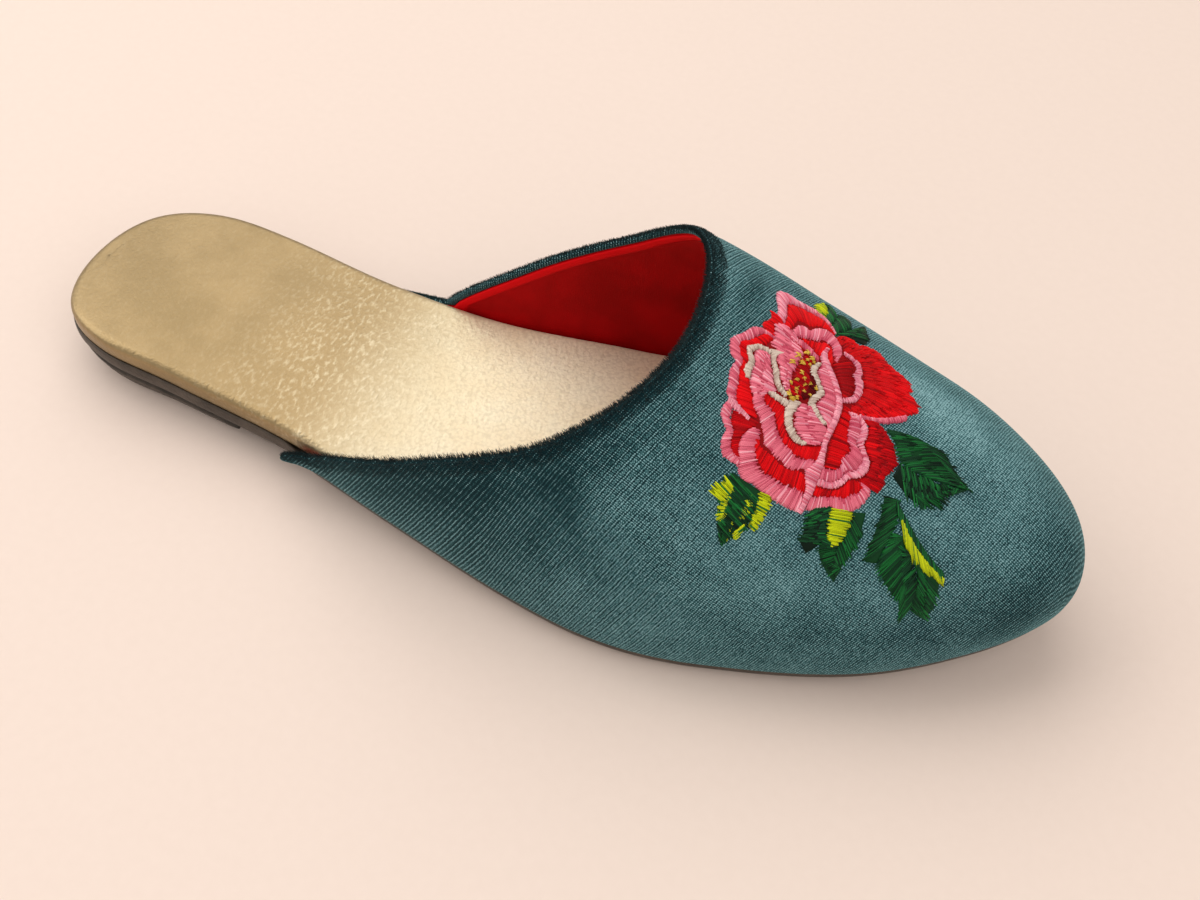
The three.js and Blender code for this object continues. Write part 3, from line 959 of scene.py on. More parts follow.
@dataclass(frozen=True)
class Bell:
    """A soft local change over the vamp, over an ellipse in millimetres of the chart."""

    ahead: float
    round: float
    reach_ahead: float
    reach_round: float
    turn: float
    amount: float

    def at(self, ahead: np.ndarray, round_: np.ndarray) -> np.ndarray:
        """Amount of the change: a bell over an ellipse turned by its angle in degrees."""
        angle = np.radians(self.turn)
        x, y = ahead / MM - self.ahead, round_ / MM - self.round
        along = (x * np.cos(angle) + y * np.sin(angle)) / self.reach_ahead
        across = (y * np.cos(angle) - x * np.sin(angle)) / self.reach_round
        return self.amount * np.exp(-(along**2) - across**2)


@dataclass(frozen=True)
class LayerPlaces:
    """Where the points of a layer lie, each array of the rings' shape.

    Attributes:
        ahead: Distance from the heel.
        round: Distance round from the crest, in the chart.
        far: Distance from the topline.
    """

    ahead: np.ndarray
    round: np.ndarray
    far: np.ndarray


@dataclass
class ClothLayer:
    """One layer of the upper as a closed body, drawn over the last from the topline to the toe.

    Attributes:
        edge: Steps across the topline's edge: distance from it, outer and inner height, in mm.
        swells: Soft rises and dents of both faces, in mm.
        flare: How far the outer side's rear end stands off the footbed.
        flare_reach: Length over which it does.
        slant: How far ahead a rib runs for each length round, at the crest.
        slant_change: How much less it does on the inner side, and more on the outer.
        slant_soft: Length round over which the slant changes.
        slant_behind: How fast the slant grows behind the throat, which starts at slant_from.
    """

    last: Last
    edge: np.ndarray
    rows: int
    columns: int
    swells: tuple[Bell, ...] = ()
    stretch_most: float = 2.2
    flare: float = 0.0021
    flare_reach: float = 0.012
    slant: float = 0.25
    slant_change: float = 0.15
    slant_soft: float = 0.015
    slant_behind: float = 2.5
    slant_from: float = 0.13

    def stretch(self, girth: np.ndarray) -> np.ndarray:
        """How much further along X a step must go to lie one unit from the slanting topline."""
        span = 0.01
        start = self.last.topline(girth) * self.last.length

        def at(ahead: np.ndarray, place: np.ndarray) -> np.ndarray:
            """Points of the last at a distance from the heel."""
            return self.last.over(turn_of(ahead / self.last.length), place, 0.001)

        def edge_at(place: np.ndarray) -> np.ndarray:
            """Points of the topline."""
            return at(self.last.topline(place) * self.last.length, place)

        low, high = np.clip(girth - span, -1, 1), np.clip(girth + span, -1, 1)
        ahead = (at(start + MM, girth) - at(start - MM, girth)) / (2 * MM)
        square = np.linalg.norm(np.cross(ahead, unit(edge_at(high) - edge_at(low))), axis=1)
        return np.minimum(1 / np.maximum(square, 0.05), self.stretch_most)

    def cloth_map(self, ahead: np.ndarray, girth: np.ndarray) -> np.ndarray:
        """Lengths across and along the ribs, which slant back from the crest to the outer feather edge.

        The slant, ahead for each length round, falls softly from 0.4 on the outer side to 0.1 on
        the inner side, and grows behind the throat.
        """
        arc = self.last.arc(ahead, girth)
        slant = self.slant * arc
        slant = slant - self.slant_change * self.slant_soft * np.log(np.cosh(arc / self.slant_soft))
        slant = slant + self.slant_behind * np.maximum(self.slant_from - ahead, 0) * arc
        return np.stack([ahead - slant, arc], -1)

    def flared(self, ahead: np.ndarray, girth: np.ndarray) -> np.ndarray:
        """How far the cloth stands off the footbed: on the outer side, most at its rear end."""
        start = self.last.topline(np.array(-1.0)) * self.last.length
        tip = np.clip(1 - (ahead - start) / self.flare_reach, 0, 1) ** 2
        return self.flare * tip * np.clip((-0.7 - girth) / 0.15, 0, 1)

    def rings(self) -> tuple[np.ndarray, np.ndarray, LayerPlaces]:
        """Rings of the layer: round its outer face and back round its inner face.

        Returns:
            Points, the cloth map, and where the points lie.
        """
        girth = np.linspace(-1, 1, self.columns)
        topline = self.last.topline(girth) * self.last.length
        distance = self.edge[:, :1] * MM * np.ones((1, len(girth)))
        ahead = topline[None] + distance * self.stretch(girth)[None]
        edge_turn = turn_of(np.clip(ahead / self.last.length, 1e-6, 1))
        share = (np.arange(1, self.rows + 1) / self.rows)[:, None]
        turn = np.concatenate([edge_turn, blend(edge_turn[-1:], np.pi, share)])
        ahead = self.last.station(turn)
        steps = np.concatenate([self.edge, self.edge[-1:].repeat(self.rows, 0)])
        far = np.concatenate([distance, distance[-1:] + (ahead[len(self.edge):] - ahead[len(self.edge) - 1])])
        around = girth[None] * np.ones_like(turn)
        round_ = around * self.last.vamp_girth
        relief = sum((swell.at(ahead, round_) for swell in self.swells), np.zeros_like(turn)) * MM
        relief = relief * np.clip((np.pi - turn) / 0.15, 0, 1) * np.clip(far / 0.004, 0, 1)
        relief = relief + self.flared(ahead, around)
        outer = self.last.over(turn, around, steps[:, 1:2] * MM + relief)
        inner = self.last.over(turn, around, steps[:, 2:3] * MM + relief)

        def both(values: np.ndarray) -> np.ndarray:
            """The same values on the outer face and, mirrored, on the inner face."""
            return np.concatenate([values, values[:, ::-1]], 1)

        places = LayerPlaces(both(ahead), both(round_), both(far))
        return np.concatenate([outer, inner[:, ::-1]], 1), both(self.cloth_map(ahead, around)), places

    def shade(self, places: LayerPlaces) -> np.ndarray:
        """Shade of the cloth: 1 on the turned edge, 0 elsewhere."""
        return np.clip((0.0031 - places.far) / 0.0004, 0, 1)

    def build(self, name: str) -> bpy.types.Object:
        """The closed body, with the cloth map and its shade."""
        rings, cloth, places = self.rings()
        rows, columns = rings.shape[:2]
        faces = np.concatenate([ring_faces(rows, columns), end_faces(0, columns, False)])
        return make_piece(name, rings.reshape(-1, 3), faces, cloth.reshape(-1, 2), self.shade(places).ravel())


@dataclass
class VelvetLayer(ClothLayer):
    """The velvet, with painted sheen and painted shade on its pile in places.

    Attributes:
        lie: Patches of painted sheen, or of painted shade where the amount is negative.
    """

    lie: tuple[Bell, ...] = (
        Bell(144, -43, 7, 5, 60, -0.24),
        Bell(124, -50, 10, 4, 20, -0.3),
        Bell(107, -55, 10, 4, 20, -0.26),
        Bell(150, -58, 20, 6, 10, 0.12),
        Bell(120, -65, 34, 4, 0, 0.14),
        Bell(180, -40, 20, 9, 0, 0.14),
        Bell(204, 6, 16, 9, 0, 0.3),
        Bell(158, 0, 7, 14, 0, 0.1),
        Bell(164, 4, 2, 7, 0, -0.25),
        Bell(238, -15, 9, 34, 0, -0.28),
        Bell(232, -52, 9, 11, 0, -0.22),
        Bell(210, -54, 18, 6, 0, -0.16),
        Bell(184, -9, 26, 26, 0, -0.06),
        Bell(116, -59, 38, 19, 10, -0.32),
        Bell(228, -8, 24, 26, 0, 0.16),
    )
    plain_lie: float = 0.5
    band_at: float = 0.006
    band_reach: float = 0.004
    band_shade: float = 0.22
    edge_width: float = 0.0031
    edge_fade: float = 0.0026
    edge_lie: float = 0.42
    near_edge_shade: float = 0.28

    def shade(self, places: LayerPlaces) -> np.ndarray:
        """Lie of the pile as painted sheen and shade: darkest on the turned edge, with painted shade in a
        soft band along it on the outer side.
        """
        shade = self.plain_lie + sum(bell.at(places.ahead, places.round) for bell in self.lie)
        # Painted shade in a soft band along the edge, on the outer side only.
        outer_side = np.clip(-places.round / 0.02 - 0.6, 0, 1)
        band = np.exp(-(((places.far - self.band_at) / self.band_reach) ** 2))
        shade = shade - self.band_shade * band * outer_side
        # The turned edge is darker on both sides, and painted shade darkens it more on the outer side.
        near_side = np.clip(-places.round / 0.02, 0, 1)
        edge = np.clip((self.edge_width - places.far) / self.edge_fade, 0, 1)
        return shade - (self.edge_lie + self.near_edge_shade * near_side) * edge


@dataclass
class Upper:
    """The cloth upper: velvet outside, red lining inside, and the pile's fuzz along the edge.

    Attributes:
        back_share: Share of the bristles that stand on the very edge and point back.
    """

    last: Last
    groups: SharedGroups
    swells: tuple[Bell, ...] = (
        Bell(170, 12, 16, 5, 20, -0.7),
        Bell(140, -50, 14, 9, 60, -0.6),
        Bell(160, -45, 10, 12, 60, 0.4),
        Bell(225, -10, 10, 14, 90, -0.5),
    )
    bristles: int = 20000
    back_share: float = 0.6
    bristle_length: float = 0.0014
    bristle_width: float = 0.00008
    pile_dark: Colour = (0.001, 0.005, 0.006)
    pile_light: Colour = (0.018, 0.055, 0.06)

    VELVET_EDGE = np.array(
        [
            (0.85, 0.62, 0.9), (0.45, 0.35, 0.95), (0.0, 0.25, 1.0), (-0.4, 0.4, 1.05), (-0.68, 0.78, 1.1),
            (-0.8, 1.2, 1.15), (-0.68, 1.58, 1.2), (-0.3, 1.88, 1.25), (0.3, 2.06, 1.3), (1.0, 2.14, 1.2),
            (1.7, 2.14, 1.1), (2.3, 2.1, 1.05), (2.8, 2.05, 1.05), (3.3, 2.03, 1.05), (3.8, 2.04, 1.05),
            (4.4, 2.06, 1.05), (5.5, 2.08, 1.05), (7.0, 2.08, 1.05),
        ]
    )
    LINING_EDGE = np.array(
        [
            (1.05, 0.55, 0.45), (1.0, 0.75, 0.1), (1.1, 0.88, -0.05), (1.4, 0.94, -0.12), (1.9, 0.95, -0.14),
            (2.4, 0.95, -0.13), (2.75, 0.95, -0.08), (2.95, 0.95, 0.06), (3.2, 0.95, 0.08), (3.8, 0.95, 0.04),
            (5.0, 0.95, 0.0),
        ]
    )

    def velvet(self) -> None:
        """Velvet layer, turned over the topline and pressed down beside the turned edge."""
        layer = VelvetLayer(self.last, self.VELVET_EDGE, 150, 240, self.swells)
        finish_piece(layer.build("velvet_upper"), VelvetFinish().build(self.groups), "velvet", "upper")

    def lining(self) -> None:
        """Lining layer with its raised, turned edge strip."""
        layer = ClothLayer(self.last, self.LINING_EDGE, 90, 150)
        finish_piece(layer.build("red_lining"), LiningFinish().build(self.groups), "velvet", "upper")

    def fuzz(self) -> None:
        """Bristles of pile along the edge: three-sided spikes.

        Those on the very edge point back over the throat, and the others stand off the turned
        band.
        """
        rng = np.random.default_rng(SEED)
        count = self.bristles
        girth = rng.uniform(-0.97, 0.97, count)
        back_row = rng.uniform(0, 1, count) < self.back_share
        away = np.where(back_row, rng.uniform(-0.79, -0.3, count), 3.2 * rng.uniform(0, 1, count) ** 2 - 0.3)
        layer = ClothLayer(self.last, self.VELVET_EDGE, 2, 2)
        ahead = self.last.topline(girth) * self.last.length + away * MM * layer.stretch(girth)
        turn = turn_of(ahead / self.last.length)
        lift = np.interp(away, self.VELVET_EDGE[5:, 0], self.VELVET_EDGE[5:, 1])
        lift = (lift - np.where(back_row, rng.uniform(0, 0.7, count), 0)) * MM - 0.0001
        lift = lift + layer.flared(ahead, girth)
        root = self.last.over(turn, girth, lift)
        normal = unit(self.last.over(turn, girth, lift + 0.001) - root)
        back = unit(self.last.over(turn - 0.01, girth, lift) - root)
        low, high = girth - 0.01, girth + 0.01
        edge = [self.last.over(turn_of(self.last.topline(place)), place, 0.001) for place in (low, high)]
        side = unit(edge[1] - edge[0])
        out = np.cross(normal, side)
        back = out * np.sign((out * back).sum(1, keepdims=True))
        upward = np.where(back_row[:, None], rng.uniform(-0.1, 0.7, (count, 1)), 1.0)
        backward = np.where(back_row[:, None], 1.0, rng.uniform(-0.2, 0.8, (count, 1)))
        lean = normal * upward + back * backward + side * rng.normal(0, 0.3, (count, 1))
        length = self.bristle_length * rng.uniform(0.45, 1.15, (count, 1))
        length = length * np.where(back_row[:, None], 1.0, 0.55)
        length = length * blend(1.0, 0.5, np.clip((girth + 0.1) / 0.4, 0, 1))[:, None]
        length = length * blend(1.0, 0.5, np.clip((np.abs(girth) - 0.85) / 0.1, 0, 1))[:, None]
        tip = root + unit(lean) * length
        angle = np.arange(3) * 2 * np.pi / 3
        round_ = side[:, None] * np.cos(angle)[None, :, None] + back[:, None] * np.sin(angle)[None, :, None]
        base = root[:, None] + round_ * self.bristle_width
        top = tip[:, None] + round_ * self.bristle_width * 0.3
        points = np.concatenate([base, top], 1).reshape(-1, 3)
        sides = np.array([(0, 1, 4, 3), (1, 2, 5, 4), (2, 0, 3, 5)])
        faces = (np.arange(count)[:, None, None] * 6 + sides[None]).reshape(-1, 4)
        shade = np.repeat(rng.uniform(0, 1, count), 6)
        piece = make_piece("velvet_fuzz", points, faces, np.zeros((len(points), 2)), shade, weld=False)
        material, board, shader = new_material("Velvet pile")
        colour = board.mix(board.shade(), self.pile_dark, self.pile_light)
        join(board, shader, Base_Color=colour, Roughness=0.9)
        finish_piece(piece, material, "velvet", "upper")

    def build(self) -> None:
        """Builds and dresses each piece."""
        self.velvet()
        self.lining()
        self.fuzz()


# --------------------------------------------------------------------------------------
# Embroidery
# --------------------------------------------------------------------------------------


@dataclass(frozen=True)
class Fill:
    """An area of satin stitch between two edges.

    Attributes:
        thread: Its thread.
        layer: How many other areas it lies over.
        start: One edge as ahead and round, in millimetres of the chart, point after point.
        end: The facing edge, from the same end.
        ragged: How far the stitches' ends stray at the start and at the end.
        tone: How light the thread looks at the start and at the end, partly the threads' own lighter and
            darker colours and partly a painted highlight on the satin.
        longest: Longest stitch, in millimetres.
        slant: How much further along the area a stitch ends than it starts, as a share.
    """

    thread: Thread
    layer: int
    start: tuple[float, ...]
    end: tuple[float, ...]
    ragged: tuple[float, float] = (0.15, 0.25)
    tone: tuple[float, float] = (0.5, 0.5)
    longest: float = 3.8
    slant: float = 0.0


T = Thread

ROSE = (
    # Crown petal, top left: red inside, pink round it.
    Fill(T.SCARLET, 0, (172.4, -0.3, 171.8, 2.6, 171.1, 5, 172, 6.6, 174, 7.6, 176.5, 8.4, 178.8, 8.6, 180.8,
         7.4, 182.2, 5.9),
         (173.8, -0.4, 174.2, 1, 174.5, 2.3, 175.4, 2.9, 176.7, 3, 177.7, 3.6, 178.4, 4.8, 179.8, 5.6, 181.6,
         5.6), tone=(0.8, 0.45)),
    Fill(T.BLUSH, 1, (170.2, 0.6, 169.7, 2.6, 168.8, 4.2, 168.3, 5.6, 168.2, 7, 168.9, 8.3, 170.3, 8.9, 172,
         8.8, 173.3, 9.3, 174.9, 9.9, 176.4, 10.2, 178.2, 9.8, 179.9, 8.9, 181.2, 7.8, 182.2, 6.5),
         (172.4, 0, 172.1, 1.5, 171.9, 2.8, 171.2, 4.2, 171.3, 5.6, 172, 6.5, 173, 7, 174.5, 7.7, 176.3, 8.2,
          178, 8.6, 179.2, 8.4, 180.6, 7.5, 181.8, 6.1),
         (0.1, 0.4), (0.8, 0.25)),
    # Small red turn below it, on the left.
    Fill(T.SCARLET, 0, (168.7, 0.6, 169.3, -0.4, 169.5, -1.2, 168.8, -2.4, 168.5, -3.5, 169.3, -4.4), (172.4,
         0.2, 172.6, -0.6, 171.6, -1.2, 171.4, -2.4, 171.4, -3.3, 171.9, -4.2), tone=(0.7, 0.5)),
    # Pink petals beside the heart.
    Fill(T.ROSE, 1, (172.5, -0.3, 170.4, -1.5, 170.8, -3, 171.3, -4.2, 171.4, -5.2, 172.6, -6.4, 174.2, -8.2,
         175.6, -10, 177.6, -11.8),
         (175.5, -1, 177, -2, 178.4, -3.4, 178.3, -5, 178.1, -6.6, 178, -8, 178, -9.2, 178.1, -10.4, 179,
          -11.8),
         (0.35, 0.3), (0.85, 0.35)),
    Fill(T.ROSE, 2, (174.3, -0.2, 174.6, 1.6, 175.8, 2.6, 177.2, 2.5, 177.8, 3.6, 178.6, 4.9, 179.8, 5.8,
         181.2, 6, 182.6, 5.4, 183.8, 4.4, 184.7, 3.2, 185.1, 1.6, 184.9, -0.6),
         (175.2, -1.3, 176.3, -0.7, 177, -0.2, 178, 0.5, 179, 0.8, 179.8, 1.4, 180.4, 2, 181.4, 2.3, 182.4,
          2.2, 183, 1.6, 183.4, 0.8, 183.7, 0, 184, -1),
         (0.1, 0.4), (0.9, 0.35)),
    Fill(T.SCARLET, 1, (176.6, -0.4, 178.5, 0.5, 180, 1.4, 181.2, 2.4, 182.4, 2.3, 183.2, 0.9, 184, -0.8),
         (177, -1.2, 178.8, -1.3, 180, -1.6, 181, -2.2, 181.6, -1.2, 182.6, -1.6, 184, -2.8), tone=(0.7,
         0.5)),
    Fill(T.ROSE, 2, (175.4, -1.3, 177.5, -1, 179.5, -1.4, 181.2, -2.2), (176, -2.3, 178, -2.8, 179.8, -3,
         181.4, -3.5), (0.15, 0.15), (0.35, 0.15)),
    Fill(T.CRIMSON, 3, (175.2, -2.1, 178.4, -2.8), (175.3, -2.6, 178.4, -3.4), (0.1, 0.1)),
    # Dark heart.
    Fill(T.CRIMSON, 1, (178, -3.2, 177.9, -5.5, 177.8, -7.5, 177.7, -9, 177.8, -10.4, 178.4, -12), (181.2,
         -3.8, 180.8, -5.4, 181.3, -7, 182.4, -8, 182.4, -10, 181, -12), (0.3, 0.3), (0.5, 0.1)),
    Fill(T.GARNET, 2, (180.6, -6.4, 181, -8, 180.8, -9.6, 180.4, -11), (181.8, -6.8, 183.7, -8.6, 183.3, -10,
         181.6, -11.6), (0.7, 0.2), (0.4, 0)),
    # Cream edges.
    Fill(T.CREAM, 3, (171.4, -7.2, 172.4, -8.3, 173.6, -9.6, 174.4, -10.8, 175.3, -11.9, 176.7, -12.6, 178.4,
         -13), (175.2, -5.9, 173.7, -6.9, 173.9, -8.1, 175, -9.1, 175.8, -10.3, 176.8, -11.4, 178.4, -12),
         (0.15, 0.25), (0.5, 0.8)),
    Fill(T.CREAM, 3, (172, -7.1, 170.2, -7.2, 168.6, -8.1, 167.6, -9.2, 168.2, -10.3, 168.9, -11.1, 168.7,
         -12.1, 168.7, -13, 169.8, -13.8), (172.4, -8.1, 170.6, -8.1, 169.6, -8.7, 169, -9.4, 169.8, -10.2,
         170.4, -11.2, 170.3, -12.1, 170.4, -12.9, 170.9, -13.5), (0.15, 0.25), (0.8, 0.5)),
    Fill(T.CREAM, 3, (181.3, -3.5, 180.5, -4.8, 180.9, -6.3, 182.1, -7.5, 183.3, -8.5, 183.2, -9.5, 182.4,
         -10.6, 182.8, -11.9, 183.6, -12.6, 185.3, -13.4, 187.2, -13.8), (182.4, -3.2, 181.9, -4.7, 182.5, -6,
         183.8, -7.2, 185, -8.4, 184.6, -9.6, 184, -10.7, 184.5, -11.5, 185.2, -11.9, 186.2, -12.5, 187.6,
         -13), (0.2, 0.25), (0.8, 0.5)),
    Fill(T.CREAM, 3, (174.6, -13.4, 176.6, -13.1, 179.2, -13), (175, -14, 176.8, -14.2, 179.2, -14.4), (0.15,
         0.15), (0.9, 0.6)),
    Fill(T.CREAM, 3, (179, -12.9, 179, -14.6, 179.4, -16, 180.4, -17.4, 181.8, -18.5, 183.4, -18.9, 185.2,
         -18.5), (181.6, -12.2, 181.1, -13.8, 181, -15.2, 181.7, -16.5, 182.9, -17.5, 184, -17.9, 185.2,
         -17.9), (0.1, 0.3), (0.9, 0.5)),
    # Right inner petal, up to the fold.
    Fill(T.ROSE, 2, (182.2, -2.8, 182, -4.6, 182.4, -6, 183.8, -7.3, 184.9, -8.5, 184.4, -10, 184.2, -11.4,
         185.6, -12.2, 187.2, -13), (183.6, -2.8, 184.9, -4.2, 186.1, -5.7, 187.2, -7.2, 188, -8.8, 188.4,
         -10.2, 188.5, -11.6, 188.5, -12.8, 188.4, -14.2), (0.2, 0.2), (0.35, 0.55)),
    Fill(T.ROSE, 2, (181.4, -12.4, 181.1, -14, 181.5, -15.8, 182.5, -17, 183.8, -17.9, 185.2, -18.2), (184,
         -11.9, 186, -13.2, 188.2, -14, 188.5, -15.4, 188, -16.8, 187.2, -17.6), (0.2, 0.2), (0.75, 0.4)),
    # Fold that crosses the rose.
    Fill(T.BLUSH, 5, (181.5, 0.7, 181.1, -1.2, 182, -2.9, 183.6, -4.2, 185.2, -5.6, 186.6, -7.2, 187.5, -9.2,
         187.9, -11.6, 187.8, -14, 187.9, -16.4, 188.1, -18.4, 188, -20.2, 186.9, -21.8, 187.2, -23.6, 188,
         -25.4, 188, -27.4, 187.8, -29.4),
         (182.4, 0.9, 182.6, -0.8, 183.8, -2.2, 185.6, -3.9, 187, -5.4, 188.3, -7, 189.1, -9, 189.4, -11.6,
          189.2, -14.4, 189.1, -16.8, 189.5, -18.6, 189.9, -20.4, 190, -22, 189.9, -24, 189.7, -26, 189.4,
          -28, 188.9, -29.6),
         (0.1, 0.1), (0.75, 0.35)),
    # Great petal, upper right.
    Fill(T.SCARLET, 0, (182.6, 4.8, 184.4, 3.8, 185.6, 2.6, 187.4, 2.8, 189, 2.3, 190.2, 0.8, 190.6, -0.8,
         191.2, -2.4, 191.3, -4.4, 191, -6, 191, -8.6),
         (183, 6.4, 183.8, 7.6, 185.2, 8.5, 186.5, 8.6, 187.5, 8.2, 188.3, 9.5, 189.7, 10.3, 191.2, 10.8,
          192.7, 10, 193.5, 9.1, 195, 8.7, 196.7, 8.1, 198.5, 7.9, 199.9, 6.6, 200.4, 5.2, 200.3, 3.8, 201.7,
          3.2, 202.9, 2, 203.2, 0.6, 202.5, -0.9, 201.6, -2, 200, -3.8, 197.6, -5.8, 195, -7.4, 192.6, -8.8),
         (0.5, 0.3), (0.05, 0.9)),
    Fill(T.ROSE, 3, (192.4, -8, 194.6, -7.4, 196.6, -6.2, 198.4, -4.8, 199.8, -3.4, 200.9, -2.3), (193, -9,
         195.4, -8.1, 197.5, -7.1, 199.5, -5.6, 200.9, -4.4, 201.7, -3), (0.1, 0.1), (0.8, 0.35)),
    # Dark inner petal with its pink edge.
    Fill(T.CRIMSON, 1, (184.8, 1.9, 186.4, 2.1, 188, 1.5, 188.6, 0.2, 188.8, -1.2, 189.8, -2.6, 190.2, -4.4,
         190, -6, 188.8, -7), (183.6, -0.6, 183.3, -1.2, 183.8, -2, 184.6, -2.8, 185.4, -3.6, 186.2, -4.4,
         187, -5.4, 187.6, -6.3, 188.2, -7.2), (0.2, 0.2), (0.1, 0.3)),
    Fill(T.BLUSH, 3, (185, 2.9, 187, 3, 188.8, 2.6, 190, 1.3, 190.3, -0.5, 191.2, -1.6, 191.5, -3.2, 191.6,
         -4.8, 191.1, -6.2, 189.8, -7.2, 188.6, -8.1), (185.3, 2.1, 186.8, 2.2, 188, 1.7, 188.8, 0.6, 188.6,
         -1, 189.5, -2, 189.9, -3.6, 190.1, -5, 189.7, -6, 189, -6.6, 188, -7.3), (0.15, 0.4), (0.6, 0.2)),
    # Outer petal on the right.
    Fill(T.CRIMSON, 0, (193.4, -8.6, 195, -9.4, 195.6, -11.2, 195.5, -13, 196.6, -14.2, 197.8, -15.6, 198,
         -17.4, 197.5, -18.8, 197, -20.2), (196.8, -7.5, 199.2, -8.5, 201, -10, 202.2, -11.8, 203.1, -13.6,
         202.5, -15.4, 201.7, -17, 202, -18.8, 201.2, -20.8), (0.3, 0.2), (0.75, 0.45)),
    # Scalloped band on the right: dark pink within, light pink without.
    Fill(T.SCARLET, 0, (189, -8.2, 189.2, -11, 189, -14, 189, -16.6, 189.5, -18.6, 189.8, -20.4), (191, -8.4,
         192, -11, 192.3, -13, 193.7, -15, 193.4, -17, 193, -19.8), tone=(0.4, 0.6)),
    Fill(T.ROSE, 2, (190.8, -9.2, 191.5, -11, 191.8, -12.6, 192.2, -14, 193.3, -14.9, 193.3, -16.2, 192.4,
         -17.5, 192.9, -18.7, 192.1, -19.8, 190.8, -20.2, 189.7, -20.6), (191.8, -8.8, 193.4, -9.6, 194.4,
         -10.8, 194.4, -12.2, 194.2, -13.6, 195.6, -14.8, 196.6, -16.2, 196.4, -17.8, 195.5, -19, 194, -20,
         193.6, -21.2, 192.3, -22.5, 189.7, -22.8), (0.4, 0.3), (0.1, 0.35)),
    Fill(T.BLUSH, 3, (190.2, -8.8, 192.4, -8.3, 194.1, -8.8, 195.3, -9.8, 195.7, -11.4, 195.5, -13, 196.7,
         -14.4, 197.9, -16, 198, -17.8, 197, -19.3, 195.5, -20.2, 194.8, -21, 194.4, -22, 193.2, -23.1, 191.6,
         -23.7, 189.7, -23.8), (191, -9.6, 192.6, -9.4, 193.8, -10.2, 194, -11.6, 193.9, -13.2, 194.9, -14.4,
         196.2, -15.8, 196.2, -17.4, 195.4, -18.7, 194, -19.7, 193.6, -20.9, 192.4, -22.1, 191, -22.5, 189.7,
         -22.5), (0.1, 0.35), (0.75, 0.3)),
    # Lower right: red under a pink edge.
    Fill(T.SCARLET, 0, (197.8, -19.8, 195.2, -20.2, 194.6, -21.8, 193.6, -23, 192, -23.7, 189.7, -23.8),
         (198.4, -21.6, 197.2, -22.8, 195.8, -24, 193.8, -24.8, 192, -25.4, 189.7, -26.1), tone=(0.5, 0.6)),
    Fill(T.ROSE, 2, (200, -20.7, 199.9, -22, 199.4, -23.6, 198.6, -25.1, 197.2, -26.3, 195.2, -26.8, 193.7,
         -26.5, 192.6, -27.3, 191, -28.1, 189.4, -28.7), (197.4, -20.1, 198, -21.5, 196.5, -22.8, 195.8,
         -23.8, 194, -24.2, 192.6, -24.8, 191.6, -25.3, 190.6, -25.7, 189.6, -26), (0.1, 0.5), (1, 0.3)),
    # Bottom: red band over a pink edge.
    Fill(T.SCARLET, 0, (176.2, -20.6, 177, -21.4, 178, -22, 179.5, -22.2, 181, -22.5, 182.4, -23, 184.2, -23,
         185.8, -22.5, 187.6, -23), (175.8, -22.4, 176.8, -23.8, 178, -24.8, 179.4, -25.8, 181.4, -25.9,
         183.4, -26.3, 185.4, -26, 186.8, -26.2, 188.2, -26.2), tone=(0.55, 0.7)),
    Fill(T.ROSE, 2, (174.4, -20.2, 173.3, -21.6, 173.1, -23.2, 173.6, -24.9, 174.6, -26.6, 176.2, -28.1,
         178.4, -28, 180, -28.6, 182.4, -29, 185, -29.3, 188, -29.5), (176, -19.6, 176.6, -20.9, 176.6, -22.2,
         177, -23.4, 177.9, -24.6, 179.2, -25.5, 180.6, -25.7, 182, -25.8, 183.8, -26, 185.8, -25.8, 188.2,
         -26), (0.1, 0.5), (1, 0.3)),
    # Bottom left: red with its pink edge and a light stroke across.
    Fill(T.CRIMSON, 0, (169.6, -19.2, 170.2, -21, 171.2, -22.2, 171.4, -23.4, 172.2, -24.8, 173.6, -25.2),
         (176.2, -18.8, 174.6, -20.2, 173.6, -21.6, 173.4, -23, 173.9, -24.2, 174.6, -25), tone=(0.8, 0.6)),
    Fill(T.ROSE, 1, (168.6, -18, 167.9, -19.4, 168.1, -20.8, 169.3, -21.8, 170.1, -22.5, 169.9, -23.7, 170.2,
         -24.9, 171.2, -26, 172.7, -26.3, 174.4, -26.3), (169.6, -18.8, 169.7, -19.8, 170.3, -21, 171.5, -22,
         171.7, -23.4, 172.5, -24.5, 173.4, -24.7, 174, -24.8, 174.3, -25, 174.6, -25.4), (0.1, 0.35), (0.7,
         0.25)),
    Fill(T.BLUSH, 3, (168.3, -17.6, 170.4, -18, 172.2, -18.4, 173.4, -18.9), (168.4, -19, 170, -19.1, 171.7,
         -19.4, 173.2, -19.5), (0.1, 0.15), (0.3, 0.8)),
    # Left: red under the outer pink edge.
    Fill(T.SCARLET, 0, (169.8, -4.9, 168.6, -6.2, 167.6, -7.8, 166.2, -9, 166.3, -10.5, 167.8, -11.4, 167.9,
         -13, 168.6, -14.8, 169, -16.4, 169.6, -17.7, 171.6, -18.6), (172, -4.8, 171.2, -6.4, 169.8, -7.8,
         168.6, -8.8, 168.2, -9.8, 169.4, -11, 169.4, -12.8, 170.8, -13.9, 172.4, -15.4, 173.4, -16.8, 175.2,
         -18.4), tone=(0.9, 0.45)),
    Fill(T.ROSE, 1, (171.6, -4.3, 169.4, -4.2, 167.8, -4.8, 166.8, -5.8, 166.3, -6.8, 165.3, -8.2, 164.4,
         -9.5, 164.7, -10.9, 165.6, -11.9, 166.8, -12.3, 166.5, -13.6, 166.8, -15, 167.2, -16.2, 167.4, -17.3,
         168.5, -18), (171.8, -5.1, 170, -5.1, 169.1, -5.7, 168.5, -6.8, 167.5, -8, 166.5, -9, 166.7, -10.2,
